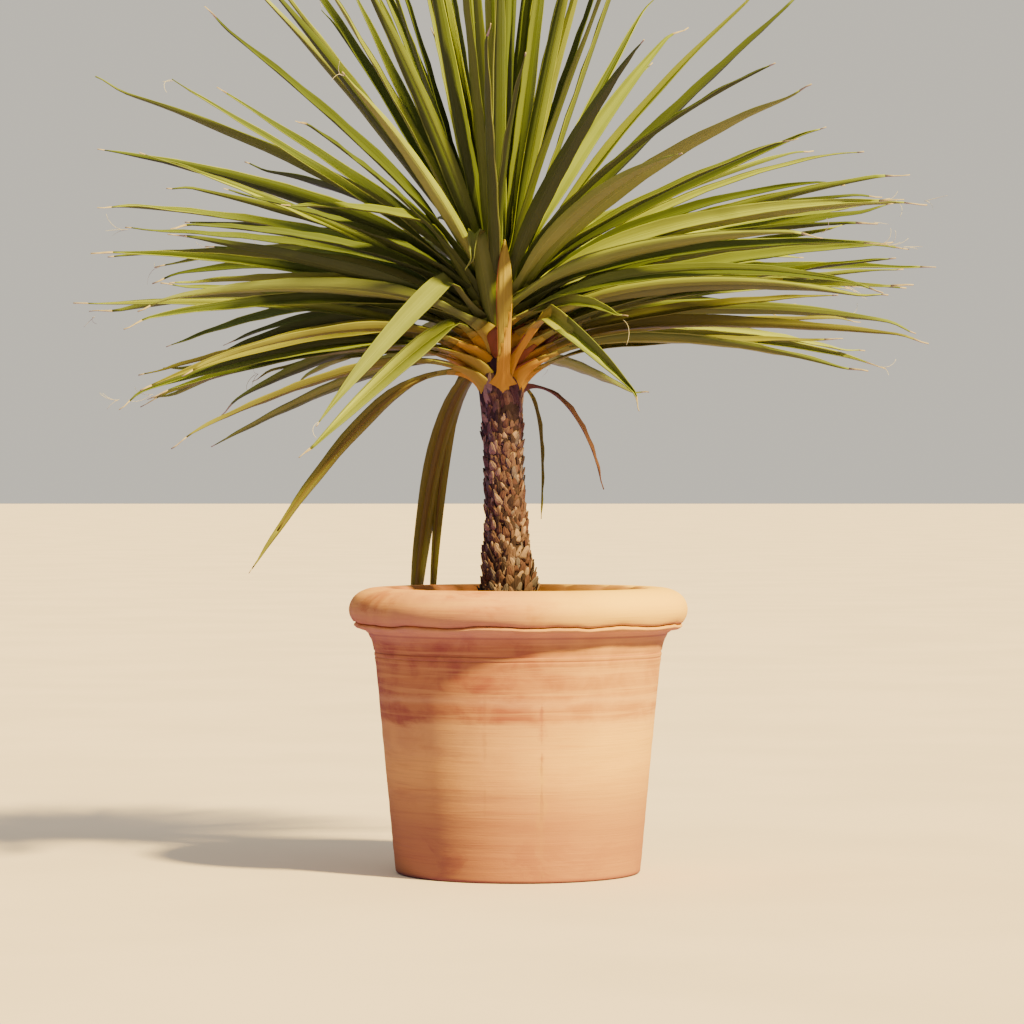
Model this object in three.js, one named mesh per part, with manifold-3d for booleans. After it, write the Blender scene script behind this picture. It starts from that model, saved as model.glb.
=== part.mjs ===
// A cordyline in a terracotta pot: a thrown pot with a rolled rim, the compost that fills it, one
// leaning trunk and a crown of sword leaves that leave the trunk's tip in a spiral.
// Millimetres, +Z up. The origin is the middle of the pot's flat underside, and the front faces -Y.
// Angles are in degrees: an azimuth of 0 is +X, 90 is +Y (the back) and 270 is the front.
import * as THREE from "three";
import { mergeVertices } from "three/addons/utils/BufferGeometryUtils.js";
import Module from "manifold-3d";

const wasm = await Module();
wasm.setup();

// Clearances between solids
const SEAT = 0.3;
const LEAF_CLEARANCE = 0.8;
const CLEAR_FROM = 0.05;
const NUDGES = [3, 6];

// Pot
const POT_HEIGHT = 500;
const RIM_RADIUS = 300;
const FOOT_RADIUS = 217;
const FOOT_ROUND = 6;
const SHOULDER = { radius: 251, height: 363 };
const COLLAR = { radius: 254.5, height: 388 };
const COVE = { radius: 262, height: 414 };
const BEAD = { radius: 284, height: 432 };
const ROLL = { inset: 50, halfHeight: 38 };
const LIP = { inset: 18, drop: 18 };
const WALL = 26;
const FLOOR = 30;
const INNER_ROUND = 14;
const POT_SIDES = 40;

// Compost
const SOIL_HEIGHT = 455;
const SOIL_EDGE_HEIGHT = 447;
const SOIL_FLAT_RADIUS = 75;

// Trunk: its outline as height and radius, its foot's offset and its lean
const TRUNK_FOOT = SOIL_HEIGHT + SEAT;
const TRUNK_OUTLINE = [
  [TRUNK_FOOT, 53],
  [476, 48.5],
  [510, 45.5],
  [560, 41],
  [620, 36.2],
  [700, 33.8],
  [780, 35.4],
  [838, 40],
];
const TRUNK_X = -16;
const TRUNK_LEAN = -0.036;
const TRUNK_SIDES = 20;

// Crown: leaf roots climb the trunk's tip from the foot of the crown to its apex
const ROOTS = 132;
const TURN = 137.508;
const CROWN_FOOT = { height: 838, radius: 40 };
const APEX = { height: 1066, radius: 11 };
const APEX_CURVE = 2.2;
const ROOT_SINK = 3;
const STEPS = 20;
const LIFT = 70;
const SETTLE = 0.13;
const THICKNESS = 0.0102;
const CHANNEL = 0.3;
const BLADE_STATIONS = [0, 1, 2, 4, 7, 11, 15];
const HEART_FROM = 108;
const ROWS = 8;
const OLD_LEAVES = 8;
const SHEATH = { radius: 4.5, overrun: 2, sides: 4 };

// At the front the old leaves lie to both sides of a window, and the young ones stand up over it.
// Leaves on the right, where the sun is, rise more and grow longer than those on the left.
const SUNNY_LIFT = 4;
const YOUNG_SUNNY_LIFT = 18;
const SUNNY_GROWTH = 0.035;
const FRONT = 270;
const WINDOW = 54;
const WINDOW_EDGE = 80;
const WINDOW_AGE = 0.5;
const FRONT_LIFT = 26;

// What a leaf's age sets, from the oldest (0) to the youngest (1)
const RISE = [[0, -5], [0.12, 1], [0.35, 7], [0.58, 13], [0.66, 19], [0.7, 36], [0.74, 60], [0.82, 73], [1, 88]];
const DROOP = [[0, 12], [0.3, 17], [0.6, 14], [0.75, 8], [1, 3]];
const LENGTH = [[0, 676], [0.25, 720], [0.6, 755], [0.8, 795], [1, 720]];
const WIDTH = [[0, 38], [0.4, 45], [0.68, 39], [1, 30]];

// Leaves that stand out of the crown: age, azimuth, reach from the root, height of the tip, droop,
// roll, width, and how far the blade folds and where along it
const SEEN = [
  ["long, hanging left", 0.0, 188, 405, 525, 12, 62, 38, 0, 0],
  ["wide, hanging behind", 0.02, 118, 345, 300, 30, 8, 54, 0, 0],
  ["narrow, hanging behind", 0.05, 107, 340, 330, 30, 15, 26, 0, 0],
  ["short, hanging right", 0.03, 50, 75, 619, 20, 40, 18, 0, 0],
  ["dead, curled right", 0.01, 350, 142, 672, 36, 12, 26, 0, 0],
  ["folded, front right", 0.1, 302, 430, 813, 12, 55, 44, -52, 0.34],
  ["pale, front left", 0.35, 228, 422, 779, 8, -60, 44, -68, 0.26],
  ["pale, low front left", 0.3, 220, 400, 723, 5, -60, 42, -62, 0.18],
  ["wide, low left", 0.14, 196, 605, 841, 20, -55, 44, 0, 0],
  ["brown at the tip, left", 0.18, 188, 710, 992, 10, -55, 32, 0, 0],
  ["long, left", 0.34, 186, 680, 1085, 14, -50, 38, 0, 0],
  ["thin, high left", 0.5, 190, 600, 1255, 10, -60, 26, 0, 0],
  ["steep, left", 0.58, 205, 580, 1365, 4, -60, 30, 0, 0],
  ["folded, left", 0.52, 222, 450, 1146, 20, -40, 38, -38, 0.4],
  ["upright, front", 0.06, 272, 85, 1104, 0, 0, 36, 28, 0.3],
  ["curled, front left", 0.38, 251, 114, 1050, 0, 0, 58, -150, 0.77],
  ["steep, right", 0.6, 335, 585, 1290, 4, 55, 40, 0, 0],
  ["thin, high right", 0.5, 352, 610, 1262, 26, 60, 24, 0, 0],
  ["broad, high right", 0.42, 340, 675, 1148, 16, 50, 48, 0, 0],
  ["broad, right", 0.34, 345, 660, 1090, 18, 45, 48, 0, 0],
  ["broad, low right", 0.2, 350, 690, 1018, 16, 45, 44, 0, 0],
  ["pointed, front right", 0.4, 312, 285, 960, 50, 50, 42, 0, 0],
];

const MATERIALS = {
  terracotta: new THREE.MeshStandardMaterial({ color: 0xcf9670, roughness: 0.85, metalness: 0 }),
  compost: new THREE.MeshStandardMaterial({ color: 0x3b2a20, roughness: 1, metalness: 0 }),
  bark: new THREE.MeshStandardMaterial({ color: 0x6b5145, roughness: 0.95, metalness: 0 }),
  leaf: new THREE.MeshStandardMaterial({ color: 0x6f7a35, roughness: 0.6, metalness: 0 }),
  old_leaf: new THREE.MeshStandardMaterial({ color: 0x8f7a3e, roughness: 0.75, metalness: 0 }),
};

const radians = THREE.MathUtils.degToRad;
const smooth = THREE.MathUtils.smoothstep;

// A closed geometry as a solid: one vertex per corner, and no face that has shrunk to a line.
function solidOf(geometry) {
  const bare = new THREE.BufferGeometry();
  bare.setAttribute("position", geometry.getAttribute("position"));
  bare.setIndex(geometry.index);
  const merged = mergeVertices(bare, 1e-3);
  const corners = merged.index.array;
  const kept = [];
  for (let i = 0; i < corners.length; i += 3) {
    const [a, b, c] = [corners[i], corners[i + 1], corners[i + 2]];
    if (a !== b && b !== c && c !== a) kept.push(a, b, c);
  }
  return new wasm.Manifold(
    new wasm.Mesh({
      numProp: 3,
      vertProperties: merged.getAttribute("position").array,
      triVerts: new Uint32Array(kept),
    }),
  );
}

function geometryOf(solid) {
  const mesh = solid.getMesh();
  const geometry = new THREE.BufferGeometry();
  geometry.setAttribute("position", new THREE.BufferAttribute(mesh.vertProperties, 3));
  geometry.setIndex(new THREE.BufferAttribute(mesh.triVerts, 1));
  geometry.computeVertexNormals();
  return geometry;
}

function largestBody(solid) {
  const bodies = solid.decompose();
  return bodies.reduce((best, body) => (body.volume() > best.volume() ? body : best));
}

function meshOf(name, geometry, material) {
  const mesh = new THREE.Mesh(geometry, material);
  mesh.name = name;
  return mesh;
}

// A profile of radius and height turned about the Z axis.
function turned(profile, sides) {
  return new THREE.LatheGeometry(profile, sides).rotateX(Math.PI / 2);
}

// The value of a rule's knots at an age.
function ruled(knots, age) {
  const last = knots.length - 1;
  for (let i = 0; i < last; i += 1) {
    const [from, low] = knots[i];
    const [to, high] = knots[i + 1];
    if (age <= to) return low + ((high - low) * (age - from)) / (to - from);
  }
  return knots[last][1];
}

// Pot: foot, straight wall, collar line, cove, bead, rolled rim, lip and the inside down to the floor.
function innerRadius(height) {
  const slope = (SHOULDER.radius - FOOT_RADIUS) / (SHOULDER.height - FOOT_ROUND);
  return FOOT_RADIUS - WALL + slope * (height - FOOT_ROUND);
}

function potProfile() {
  const rollRadius = RIM_RADIUS - ROLL.inset;
  const rollHeight = POT_HEIGHT - ROLL.halfHeight;
  const lipRadius = rollRadius - LIP.inset;
  const lipHeight = POT_HEIGHT - LIP.drop;
  const outline = new THREE.Path();
  outline.moveTo(0, 0);
  outline.lineTo(FOOT_RADIUS - FOOT_ROUND, 0);
  outline.quadraticCurveTo(FOOT_RADIUS, 0, FOOT_RADIUS, FOOT_ROUND);
  outline.lineTo(SHOULDER.radius, SHOULDER.height);
  outline.lineTo(COLLAR.radius, COLLAR.height);
  outline.quadraticCurveTo(COLLAR.radius + 2, COVE.height - 8, COVE.radius, COVE.height);
  outline.quadraticCurveTo(COVE.radius + 8, BEAD.height - 4, BEAD.radius, BEAD.height);
  outline.absellipse(rollRadius, rollHeight, ROLL.inset, ROLL.halfHeight, radians(-45), radians(90));
  outline.absellipse(rollRadius, lipHeight, LIP.inset, LIP.drop, radians(90), radians(180));
  outline.lineTo(innerRadius(COLLAR.height), COLLAR.height);
  outline.lineTo(innerRadius(FLOOR + INNER_ROUND), FLOOR + INNER_ROUND);
  outline.quadraticCurveTo(innerRadius(FLOOR), FLOOR, innerRadius(FLOOR) - INNER_ROUND, FLOOR);
  outline.lineTo(0, FLOOR);
  return outline.getPoints(3);
}

function pot() {
  return meshOf("pot", turned(potProfile(), POT_SIDES), MATERIALS.terracotta);
}

// Compost: it fills the pot a seat's width clear of the clay, and lies level where the trunk stands.
function soil() {
  const base = FLOOR + SEAT;
  const profile = [
    new THREE.Vector2(0, base),
    new THREE.Vector2(innerRadius(FLOOR) - INNER_ROUND - SEAT, base),
    new THREE.Vector2(innerRadius(FLOOR + INNER_ROUND) - SEAT, FLOOR + INNER_ROUND),
    new THREE.Vector2(innerRadius(COLLAR.height) - SEAT, COLLAR.height),
    new THREE.Vector2(innerRadius(COLLAR.height) - SEAT, SOIL_EDGE_HEIGHT),
    new THREE.Vector2(SOIL_FLAT_RADIUS, SOIL_HEIGHT),
    new THREE.Vector2(0, SOIL_HEIGHT),
  ];
  return meshOf("soil", turned(profile, POT_SIDES), MATERIALS.compost);
}

// Trunk: its axis leans, and its tip narrows inside the crown up to the heart.
function axisX(height) {
  return TRUNK_X + TRUNK_LEAN * (height - SOIL_HEIGHT);
}

function rootHeight(age) {
  return CROWN_FOOT.height + (APEX.height - CROWN_FOOT.height) * age;
}

function rootRadius(age) {
  return CROWN_FOOT.radius + (APEX.radius - CROWN_FOOT.radius) * Math.max(age, 0) ** APEX_CURVE;
}

const HEART_AGE = HEART_FROM / (ROOTS - 1);
const TIP_AGES = [0.2, 0.4, 0.55, 0.7];

function leaning(geometry) {
  const lean = new THREE.Matrix4().makeShear(0, 0, 0, 0, TRUNK_LEAN, 0);
  return geometry.applyMatrix4(lean).translate(axisX(0), 0, 0);
}

function trunkGeometry(grow) {
  const tip = rootHeight(HEART_AGE) + grow;
  const profile = [
    new THREE.Vector2(0, TRUNK_FOOT),
    ...TRUNK_OUTLINE.map(([height, radius]) => new THREE.Vector2(radius + grow, height)),
    ...TIP_AGES.map((age) => new THREE.Vector2(rootRadius(age) + grow, rootHeight(age))),
    new THREE.Vector2(rootRadius(HEART_AGE) + grow, tip),
    new THREE.Vector2(0, tip),
  ];
  return leaning(turned(profile, TRUNK_SIDES));
}

function trunk() {
  return meshOf("trunk", trunkGeometry(0), MATERIALS.bark);
}

// The growing point that the heart's leaves stand in, from the trunk's cut tip to the apex.
function growingPoint() {
  const base = rootHeight(HEART_AGE) + SEAT;
  const profile = [
    new THREE.Vector2(0, base),
    new THREE.Vector2(rootRadius(HEART_AGE) - SEAT, base),
    new THREE.Vector2(rootRadius(0.92), rootHeight(0.92)),
    new THREE.Vector2(APEX.radius, APEX.height),
    new THREE.Vector2(0, APEX.height + APEX.radius),
  ];
  return leaning(turned(profile, TRUNK_SIDES / 2));
}

// A number from 0 to 1 that belongs to one trait of one leaf, and is the same each time.
function chance(leaf, trait) {
  const wave = Math.sin(leaf * 12.9898 + trait * 78.233) * 43758.5453;
  return wave - Math.floor(wave);
}

function spread(leaf, trait, most) {
  return (2 * chance(leaf, trait) - 1) * most;
}

// Leaf k of the spiral. Leaves near the heart keep closer to the rule.
function leafOfRule(k) {
  const age = k / (ROOTS - 1);
  const freedom = 1 - 0.75 * smooth(age, 0.6, 1);
  let azimuth = k * TURN + spread(k, 1, 6);
  let rise = ruled(RISE, age) + spread(k, 2, 7) * freedom;
  const aside = turnBetween(FRONT, azimuth);
  const nearness = Math.max(0, 1 - Math.abs(aside) / WINDOW_EDGE);
  if (age < WINDOW_AGE) azimuth += Math.sign(aside) * WINDOW * nearness;
  const sunny = Math.cos(radians(azimuth));
  if (age < WINDOW_AGE) {
    rise += SUNNY_LIFT * sunny;
  } else {
    const opening = smooth(age, 0.655, 0.68) * (1 - smooth(age, 0.76, 0.9));
    rise += YOUNG_SUNNY_LIFT * opening * (sunny + 0.15);
    rise += FRONT_LIFT * nearness * (1 - smooth(age, 0.6, 0.9));
  }
  return {
    k,
    age,
    azimuth,
    rise,
    droop: ruled(DROOP, age) * (1 + spread(k, 3, 0.7)),
    sweep: spread(k, 4, 9) * freedom,
    roll: (32 + 32 * chance(k, 5)) * Math.sign(chance(k, 8) - 0.5),
    length: ruled(LENGTH, age) * (1 + spread(k, 6, 0.07)) * (1 + SUNNY_GROWTH * sunny),
    width: ruled(WIDTH, age) * (1 + spread(k, 7, 0.1)),
    fold: 0,
    foldAt: 0,
  };
}

function turnBetween(from, to) {
  return ((((to - from + 180) % 360) + 360) % 360) - 180;
}

function widthAt(leaf, s) {
  return leaf.width * (1 - s ** 2.4) * (0.4 + 0.6 * smooth(s, 0.02, 0.42));
}

function thicknessAt(leaf, s) {
  return leaf.length * THICKNESS * (0.6 + 0.4 * smooth(s, 0.02, 0.15)) * (1 - s ** 6);
}

// The blade's direction at s: it leaves the trunk steeply, settles to its rise, droops and folds.
function heading(leaf, s) {
  const rootAzimuth = leaf.k * TURN;
  const lift = Math.max(leaf.rise, LIFT);
  const folded = leaf.fold * smooth(s, leaf.foldAt - 0.04, leaf.foldAt + 0.04);
  const settled = leaf.rise + (lift - leaf.rise) * Math.exp(-s / SETTLE);
  return {
    elevation: radians(settled - leaf.droop * s ** 1.5 + folded),
    azimuth: radians(
      rootAzimuth + turnBetween(rootAzimuth, leaf.azimuth) * smooth(s, 0, 0.12) + leaf.sweep * s,
    ),
  };
}

function directionOf({ elevation, azimuth }) {
  const level = Math.cos(elevation);
  return new THREE.Vector3(level * Math.cos(azimuth), level * Math.sin(azimuth), Math.sin(elevation));
}

// The stations of a leaf from root to tip: point, side and up vectors, width and thickness.
function spine(leaf) {
  const root = radians(leaf.k * TURN);
  const height = rootHeight(leaf.age);
  const radius = rootRadius(leaf.age) - ROOT_SINK;
  const point = new THREE.Vector3(
    axisX(height) + radius * Math.cos(root),
    radius * Math.sin(root),
    height,
  );
  const stations = [];
  for (let j = 0; j <= STEPS; j += 1) {
    const s = j / STEPS;
    const here = heading(leaf, s);
    const ahead = directionOf(here);
    const level = new THREE.Vector3(-Math.sin(here.azimuth), Math.cos(here.azimuth), 0);
    const side = level.applyAxisAngle(ahead, radians(leaf.roll) * smooth(s, 0.04, 0.4));
    const up = ahead.clone().cross(side);
    stations.push({
      s,
      point: point.clone(),
      ahead,
      side,
      up,
      width: widthAt(leaf, s),
      thickness: thicknessAt(leaf, s),
    });
    point.addScaledVector(directionOf(heading(leaf, s + 0.5 / STEPS)), leaf.length / STEPS);
  }
  return stations;
}

// A leaf turned and stretched until its tip lies at the reach and height asked of it.
function aimed(leaf, reach, tip) {
  for (let round = 0; round < 8; round += 1) {
    const stations = spine(leaf);
    const from = stations[0].point;
    const to = stations[STEPS].point;
    const run = Math.hypot(to.x - from.x, to.y - from.y);
    const wanted = Math.atan2(tip - from.z, reach);
    const got = Math.atan2(to.z - from.z, run);
    leaf.rise += THREE.MathUtils.radToDeg(wanted - got);
    leaf.length *= Math.hypot(reach, tip - from.z) / Math.hypot(run, to.z - from.z);
  }
  return leaf;
}

// Each seen leaf takes the free root that suits its age and azimuth best.
function seenLeaves(free) {
  return SEEN.map(([, asked, azimuth, reach, tip, droop, roll, width, fold, foldAt]) => {
    const misfit = (k) =>
      Math.abs(turnBetween(azimuth, k * TURN)) / 12 + Math.abs(k / (ROOTS - 1) - asked) / 0.05;
    const k = free.reduce((best, other) => (misfit(other) < misfit(best) ? other : best));
    free.splice(free.indexOf(k), 1);
    const age = k / (ROOTS - 1);
    const length = Math.hypot(reach, 200);
    const pose = { azimuth, rise: 0, droop, sweep: 0, roll, fold, foldAt };
    return aimed({ k, age, length, width, seen: true, ...pose }, reach, tip);
  });
}

// The boxes that a leaf fills outside the crowded roots, each from one station to the next.
function boxesOf(leaf) {
  const stations = spine(leaf);
  const boxes = [];
  for (let j = Math.round(CLEAR_FROM * STEPS); j < STEPS; j += 1) {
    const [a, b] = [stations[j], stations[j + 1]];
    const ahead = b.point.clone().sub(a.point);
    const half = ahead.length() / 2;
    ahead.normalize();
    const side = a.side.clone().add(b.side);
    side.addScaledVector(ahead, -side.dot(ahead)).normalize();
    const up = ahead.clone().cross(side);
    const thickness = (a.thickness + b.thickness) / 2;
    const middle = a.point.clone().add(b.point).multiplyScalar(0.5);
    middle.addScaledVector(up, -CHANNEL * thickness);
    const halves = [half, (a.width + b.width + 2 * LEAF_CLEARANCE) / 4, (thickness + LEAF_CLEARANCE) / 2];
    boxes.push({ middle, axes: [ahead, side, up], halves, radius: Math.hypot(...halves) });
  }
  return boxes;
}

function partedBy(axis, one, other) {
  const apart = Math.abs(axis.dot(other.middle) - axis.dot(one.middle));
  const reach = [one, other].reduce(
    (sum, box) => sum + box.axes.reduce((part, a, i) => part + Math.abs(axis.dot(a)) * box.halves[i], 0),
    0,
  );
  return apart > reach;
}

function touching(one, other) {
  if (one.middle.distanceTo(other.middle) >= one.radius + other.radius) return false;
  return ![...one.axes, ...other.axes].some((axis) => partedBy(axis, one, other));
}

function nudged(leaf) {
  const tries = [leaf];
  for (const step of NUDGES) {
    for (const [a, r] of [[1, 0], [-1, 0], [0, 1], [0, -1], [1, 1], [-1, -1], [1, -1], [-1, 1]]) {
      tries.push({ ...leaf, azimuth: leaf.azimuth + a * step, rise: leaf.rise + r * step });
    }
  }
  return tries;
}

// The crown's leaves in order of age. A leaf that would touch one placed before it moves or is skipped.
function crownLeaves() {
  const free = Array.from({ length: ROOTS }, (_, k) => k);
  const seen = seenLeaves(free);
  const placed = [];
  const leaves = [];
  for (const leaf of [...seen, ...free.map(leafOfRule)]) {
    for (const tried of leaf.seen ? [leaf] : nudged(leaf)) {
      const boxes = boxesOf(tried);
      if (leaf.seen || !boxes.some((box) => placed.some((other) => touching(box, other)))) {
        placed.push(...boxes);
        leaves.push(tried);
        break;
      }
    }
  }
  return leaves.sort((a, b) => a.k - b.k);
}

// A body swept through four-cornered rings, closed by its first ring and by a point at its tip.
// The faces above and below are split the same way, so that a twisted blade's two sides never cross.
function sweptBody(rings, tip) {
  const positions = [];
  rings.forEach((ring) => ring.forEach((corner) => positions.push(corner.x, corner.y, corner.z)));
  positions.push(tip.x, tip.y, tip.z);
  const last = rings.length * 4;
  const faces = [0, 3, 1, 1, 3, 2];
  for (let ring = 0; ring < rings.length; ring += 1) {
    for (let corner = 0; corner < 4; corner += 1) {
      const a = ring * 4 + corner;
      const b = ring * 4 + ((corner + 1) % 4);
      if (ring === rings.length - 1) faces.push(a, b, last);
      else if (corner < 2) faces.push(a, b, b + 4, a, b + 4, a + 4);
      else faces.push(a, b, a + 4, b, b + 4, a + 4);
    }
  }
  const geometry = new THREE.BufferGeometry();
  geometry.setAttribute("position", new THREE.Float32BufferAttribute(positions, 3));
  geometry.setIndex(faces);
  return geometry;
}

// A leaf's blade: a shallow channel above and a keel below, as thick as the leaf's length asks.
// Grown, it covers the blade and a margin round it.
function bladeBody(leaf, grow) {
  const stations = spine(leaf);
  const used = leaf.fold ? stations.slice(0, STEPS) : BLADE_STATIONS.map((j) => stations[j]);
  const ringed = grow ? [...used, stations[STEPS]] : used;
  const rings = ringed.map(({ point, side, up, width, thickness }) => {
    const stretch = 1 + (2 * grow) / Math.max(thickness, 1);
    const reach = (width / 2) * stretch + grow;
    const edge = CHANNEL * thickness * stretch + grow;
    const at = (across, above) =>
      point.clone().addScaledVector(side, across).addScaledVector(up, above);
    return [
      at(-reach, edge),
      at(0, -thickness - grow),
      at(reach, edge),
      at(0, grow),
    ];
  });
  const tip = stations[STEPS].point.clone().addScaledVector(stations[STEPS].ahead, grow);
  return solidOf(sweptBody(rings, tip));
}

function rootPoint({ k, age }) {
  const height = rootHeight(age);
  const radius = rootRadius(age);
  const azimuth = radians(k * TURN);
  return new THREE.Vector3(
    axisX(height) + radius * Math.cos(azimuth),
    radius * Math.sin(azimuth),
    height,
  );
}

// The clasping sheath that joins two roots of a row: a bar that lies against the trunk.
function sheathBody(from, to, grow) {
  const [start, end] = [rootPoint(from), rootPoint(to)];
  const climb = end.clone().sub(start);
  const length = climb.length() + 2 * (SHEATH.overrun + grow);
  const radius = SHEATH.radius + grow;
  const bar = new THREE.CylinderGeometry(radius, radius, length, SHEATH.sides);
  const upright = new THREE.Vector3(0, 1, 0);
  bar.applyQuaternion(new THREE.Quaternion().setFromUnitVectors(upright, climb.normalize()));
  const middle = start.add(end).multiplyScalar(0.5);
  return solidOf(bar.translate(middle.x, middle.y, middle.z));
}

// The crown as groups of leaves: pairs along the eight rows of the spiral, and the heart as one.
// Groups with seen leaves come first, so that theirs stay whole where others are trimmed.
function crownGroups() {
  const leaves = crownLeaves();
  const groups = [];
  for (let row = 0; row < ROWS; row += 1) {
    const inRow = leaves.filter(({ k }) => k % ROWS === row && k < HEART_FROM);
    for (let i = 0; i * ROWS * 2 < HEART_FROM; i += 1) {
      const pair = inRow.filter(({ k }) => Math.floor(k / (ROWS * 2)) === i);
      if (pair.length) groups.push({ name: `leaves_row${row + 1}_${i + 1}`, leaves: pair });
    }
  }
  groups.push({ name: "heart", leaves: leaves.filter(({ k }) => k >= HEART_FROM) });
  const seenIn = (group) => group.leaves.filter(({ seen }) => seen).length;
  return groups.sort((a, b) => seenIn(b) - seenIn(a));
}

function groupBody({ name, leaves }, grow) {
  const bodies = leaves.map((leaf) => bladeBody(leaf, grow));
  if (name === "heart") bodies.push(solidOf(growingPoint()));
  else if (leaves.length === 2) bodies.push(sheathBody(leaves[0], leaves[1], grow));
  return bodies.reduce((sum, body) => sum.add(body));
}

// Each group's body stands a seat's width clear of the trunk and of every group before it.
function crown() {
  const seat = solidOf(trunkGeometry(SEAT));
  const cutters = [];
  return crownGroups().map((group) => {
    let body = groupBody(group, 0).subtract(seat);
    for (const cutter of cutters) {
      if (body.intersect(cutter).volume() > 0) body = body.subtract(cutter);
    }
    cutters.push(groupBody(group, SEAT));
    const material = group.leaves[0].k < OLD_LEAVES ? MATERIALS.old_leaf : MATERIALS.leaf;
    return meshOf(group.name, geometryOf(largestBody(body)), material);
  });
}

const plant = new THREE.Group();
plant.add(pot(), soil(), trunk(), ...crown());

export default plant;
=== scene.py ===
# The looks of a cordyline in a terracotta pot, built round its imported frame.
# Metres, +Z up. The origin is the middle of the pot's underside, and the front faces -Y.
# Angles are in degrees: an azimuth of 0 is +X, 90 is +Y (the back) and 270 is the front.
import math
from dataclasses import dataclass, replace
from functools import partial

import bmesh
import bpy
from bpy.props import FloatProperty, FloatVectorProperty, IntProperty, PointerProperty
from mathutils import Matrix, Quaternion, Vector, noise


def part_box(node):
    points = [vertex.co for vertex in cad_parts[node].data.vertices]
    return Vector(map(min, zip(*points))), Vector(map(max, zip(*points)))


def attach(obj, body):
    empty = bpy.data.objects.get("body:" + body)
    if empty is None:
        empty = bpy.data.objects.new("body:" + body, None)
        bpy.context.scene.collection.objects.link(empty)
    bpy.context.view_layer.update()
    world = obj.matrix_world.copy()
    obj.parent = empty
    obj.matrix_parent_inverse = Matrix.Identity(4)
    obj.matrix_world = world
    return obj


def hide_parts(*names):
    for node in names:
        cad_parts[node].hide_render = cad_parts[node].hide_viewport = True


bl_info = {
    "name": "Potted cordyline",
    "version": (1, 0, 0),
    "blender": (4, 5, 0),
    "location": "View3D > Sidebar > Cordyline",
    "description": "Builds a cordyline in a terracotta pot round its packed frame",
    "category": "Add Mesh",
}

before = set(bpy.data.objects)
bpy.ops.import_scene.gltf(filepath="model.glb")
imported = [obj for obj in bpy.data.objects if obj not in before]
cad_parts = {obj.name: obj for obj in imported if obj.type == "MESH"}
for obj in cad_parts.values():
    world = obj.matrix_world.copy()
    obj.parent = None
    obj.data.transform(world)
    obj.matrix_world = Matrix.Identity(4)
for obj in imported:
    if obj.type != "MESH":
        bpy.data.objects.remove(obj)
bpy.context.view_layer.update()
POT_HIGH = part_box("pot")[1]
SOIL_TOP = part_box("soil")[1].z
LEAF_NODES = sorted(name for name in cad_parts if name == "heart" or name.startswith("leaves_"))

MERGE = 1e-6


# Properties


def tint(code):
    """The linear colour of a six-digit sRGB code."""
    shares = [int(code[i : i + 2], 16) / 255 for i in (0, 2, 4)]
    return tuple(c / 12.92 if c <= 0.04045 else ((c + 0.055) / 1.055) ** 2.4 for c in shares)


def length(name, description, default):
    return FloatProperty(name=name, description=description, default=default, min=0, unit="LENGTH")


def angle(name, description, degrees):
    return FloatProperty(name=name, description=description, default=math.radians(degrees), unit="ROTATION")


def colour(name, description, code):
    return FloatVectorProperty(
        name=name, description=description, default=tint(code), size=3, min=0, max=1, subtype="COLOR"
    )


def number(name, description, default):
    return IntProperty(name=name, description=description, default=default, min=1)


def strength(name, description, default):
    return FloatProperty(name=name, description=description, default=default, min=0)


class PotSettings(bpy.types.PropertyGroup):
    height: length("Height", "From the foot to the top of the rim", POT_HIGH.z)
    rim_radius: length("Rim radius", "Outer radius of the rolled rim", POT_HIGH.x)
    foot_radius: length("Foot radius", "Outer radius at the foot", 0.217)
    wall: length("Wall", "Thickness of the clay wall", 0.026)
    wobble: length("Wobble", "How far the thrown clay strays from a true circle", 0.0022)
    sides: number("Sides", "Faces round the pot", 160)
    rim_clay: colour("Rim clay", "Pale, dusty clay of the rolled rim", "d48b4b")
    # Painted sunlight: this clay paints the right side, where the key light falls, paler. The seams' lower
    # stripes take it too.
    painted_sun_and_seam_clay: colour("Bleached clay", "Where the sun has paled the clay, at the right", "ffbf30")
    cove_clay: colour("Cove clay", "Redder clay right under the rim", "d49050")
    pink_clay: colour("Pink clay", "Clay under the collar line", "a65935")
    cream_clay: colour("Cream clay", "Pale band round the middle", "e29e4b")
    tan_clay: colour("Tan clay", "Clay below the pale band", "ffb54b")
    orange_clay: colour("Orange clay", "Clay of the lower wall", "ffad45")
    flush_clay: colour("Flushed clay", "Redder clay of streaks, clouds and seams", "bc6c37")
    # Painted shade in the grooves, under the roll and inside the pot. Also the real specks, cracks and the
    # darker foot.
    dark_clay_and_painted_shade: colour("Foot clay", "Darkest clay, at the foot and in the grooves", "a25f3c")


class SoilSettings(bpy.types.PropertyGroup):
    height: length("Height", "Top of the compost above the pot's underside", SOIL_TOP)
    lump: length("Lump", "Height of the crumbs on the surface", 0.004)
    crumbs: number("Crumbs", "Loose crumbs on the surface", 520)
    compost: colour("Compost", "Damp compost", "3a291e")
    chip: colour("Chips", "Bark chips among the compost", "7d5a3e")


class TrunkSettings(bpy.types.PropertyGroup):
    relief: length("Relief", "Depth of the creases between the leaf scars", 0.0034)
    scale_length: length("Scale length", "Length of a leaf base left on the bark", 0.0225)
    scale_width: length("Scale width", "Width of a leaf base left on the bark", 0.0118)
    scales: number("Scales", "Leaf bases left on the bark", 1450)
    bark: colour("Bark", "Bark between the scales", "301e18")
    # Also painted shade: the foot of every scale takes this tone.
    dark_scale: colour("Dark scale", "Oldest leaf bases", "3f2922")
    red_scale: colour("Red scale", "Leaf bases that keep their red", "5f3b30")
    brown_scale: colour("Brown scale", "Leaf bases in the shade of others", "6c4b3d")
    buff_scale: colour("Buff scale", "Dry, papery leaf bases", "a07a5f")
    grey_scale: colour("Grey scale", "Weathered leaf bases", "6c5750")


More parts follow.
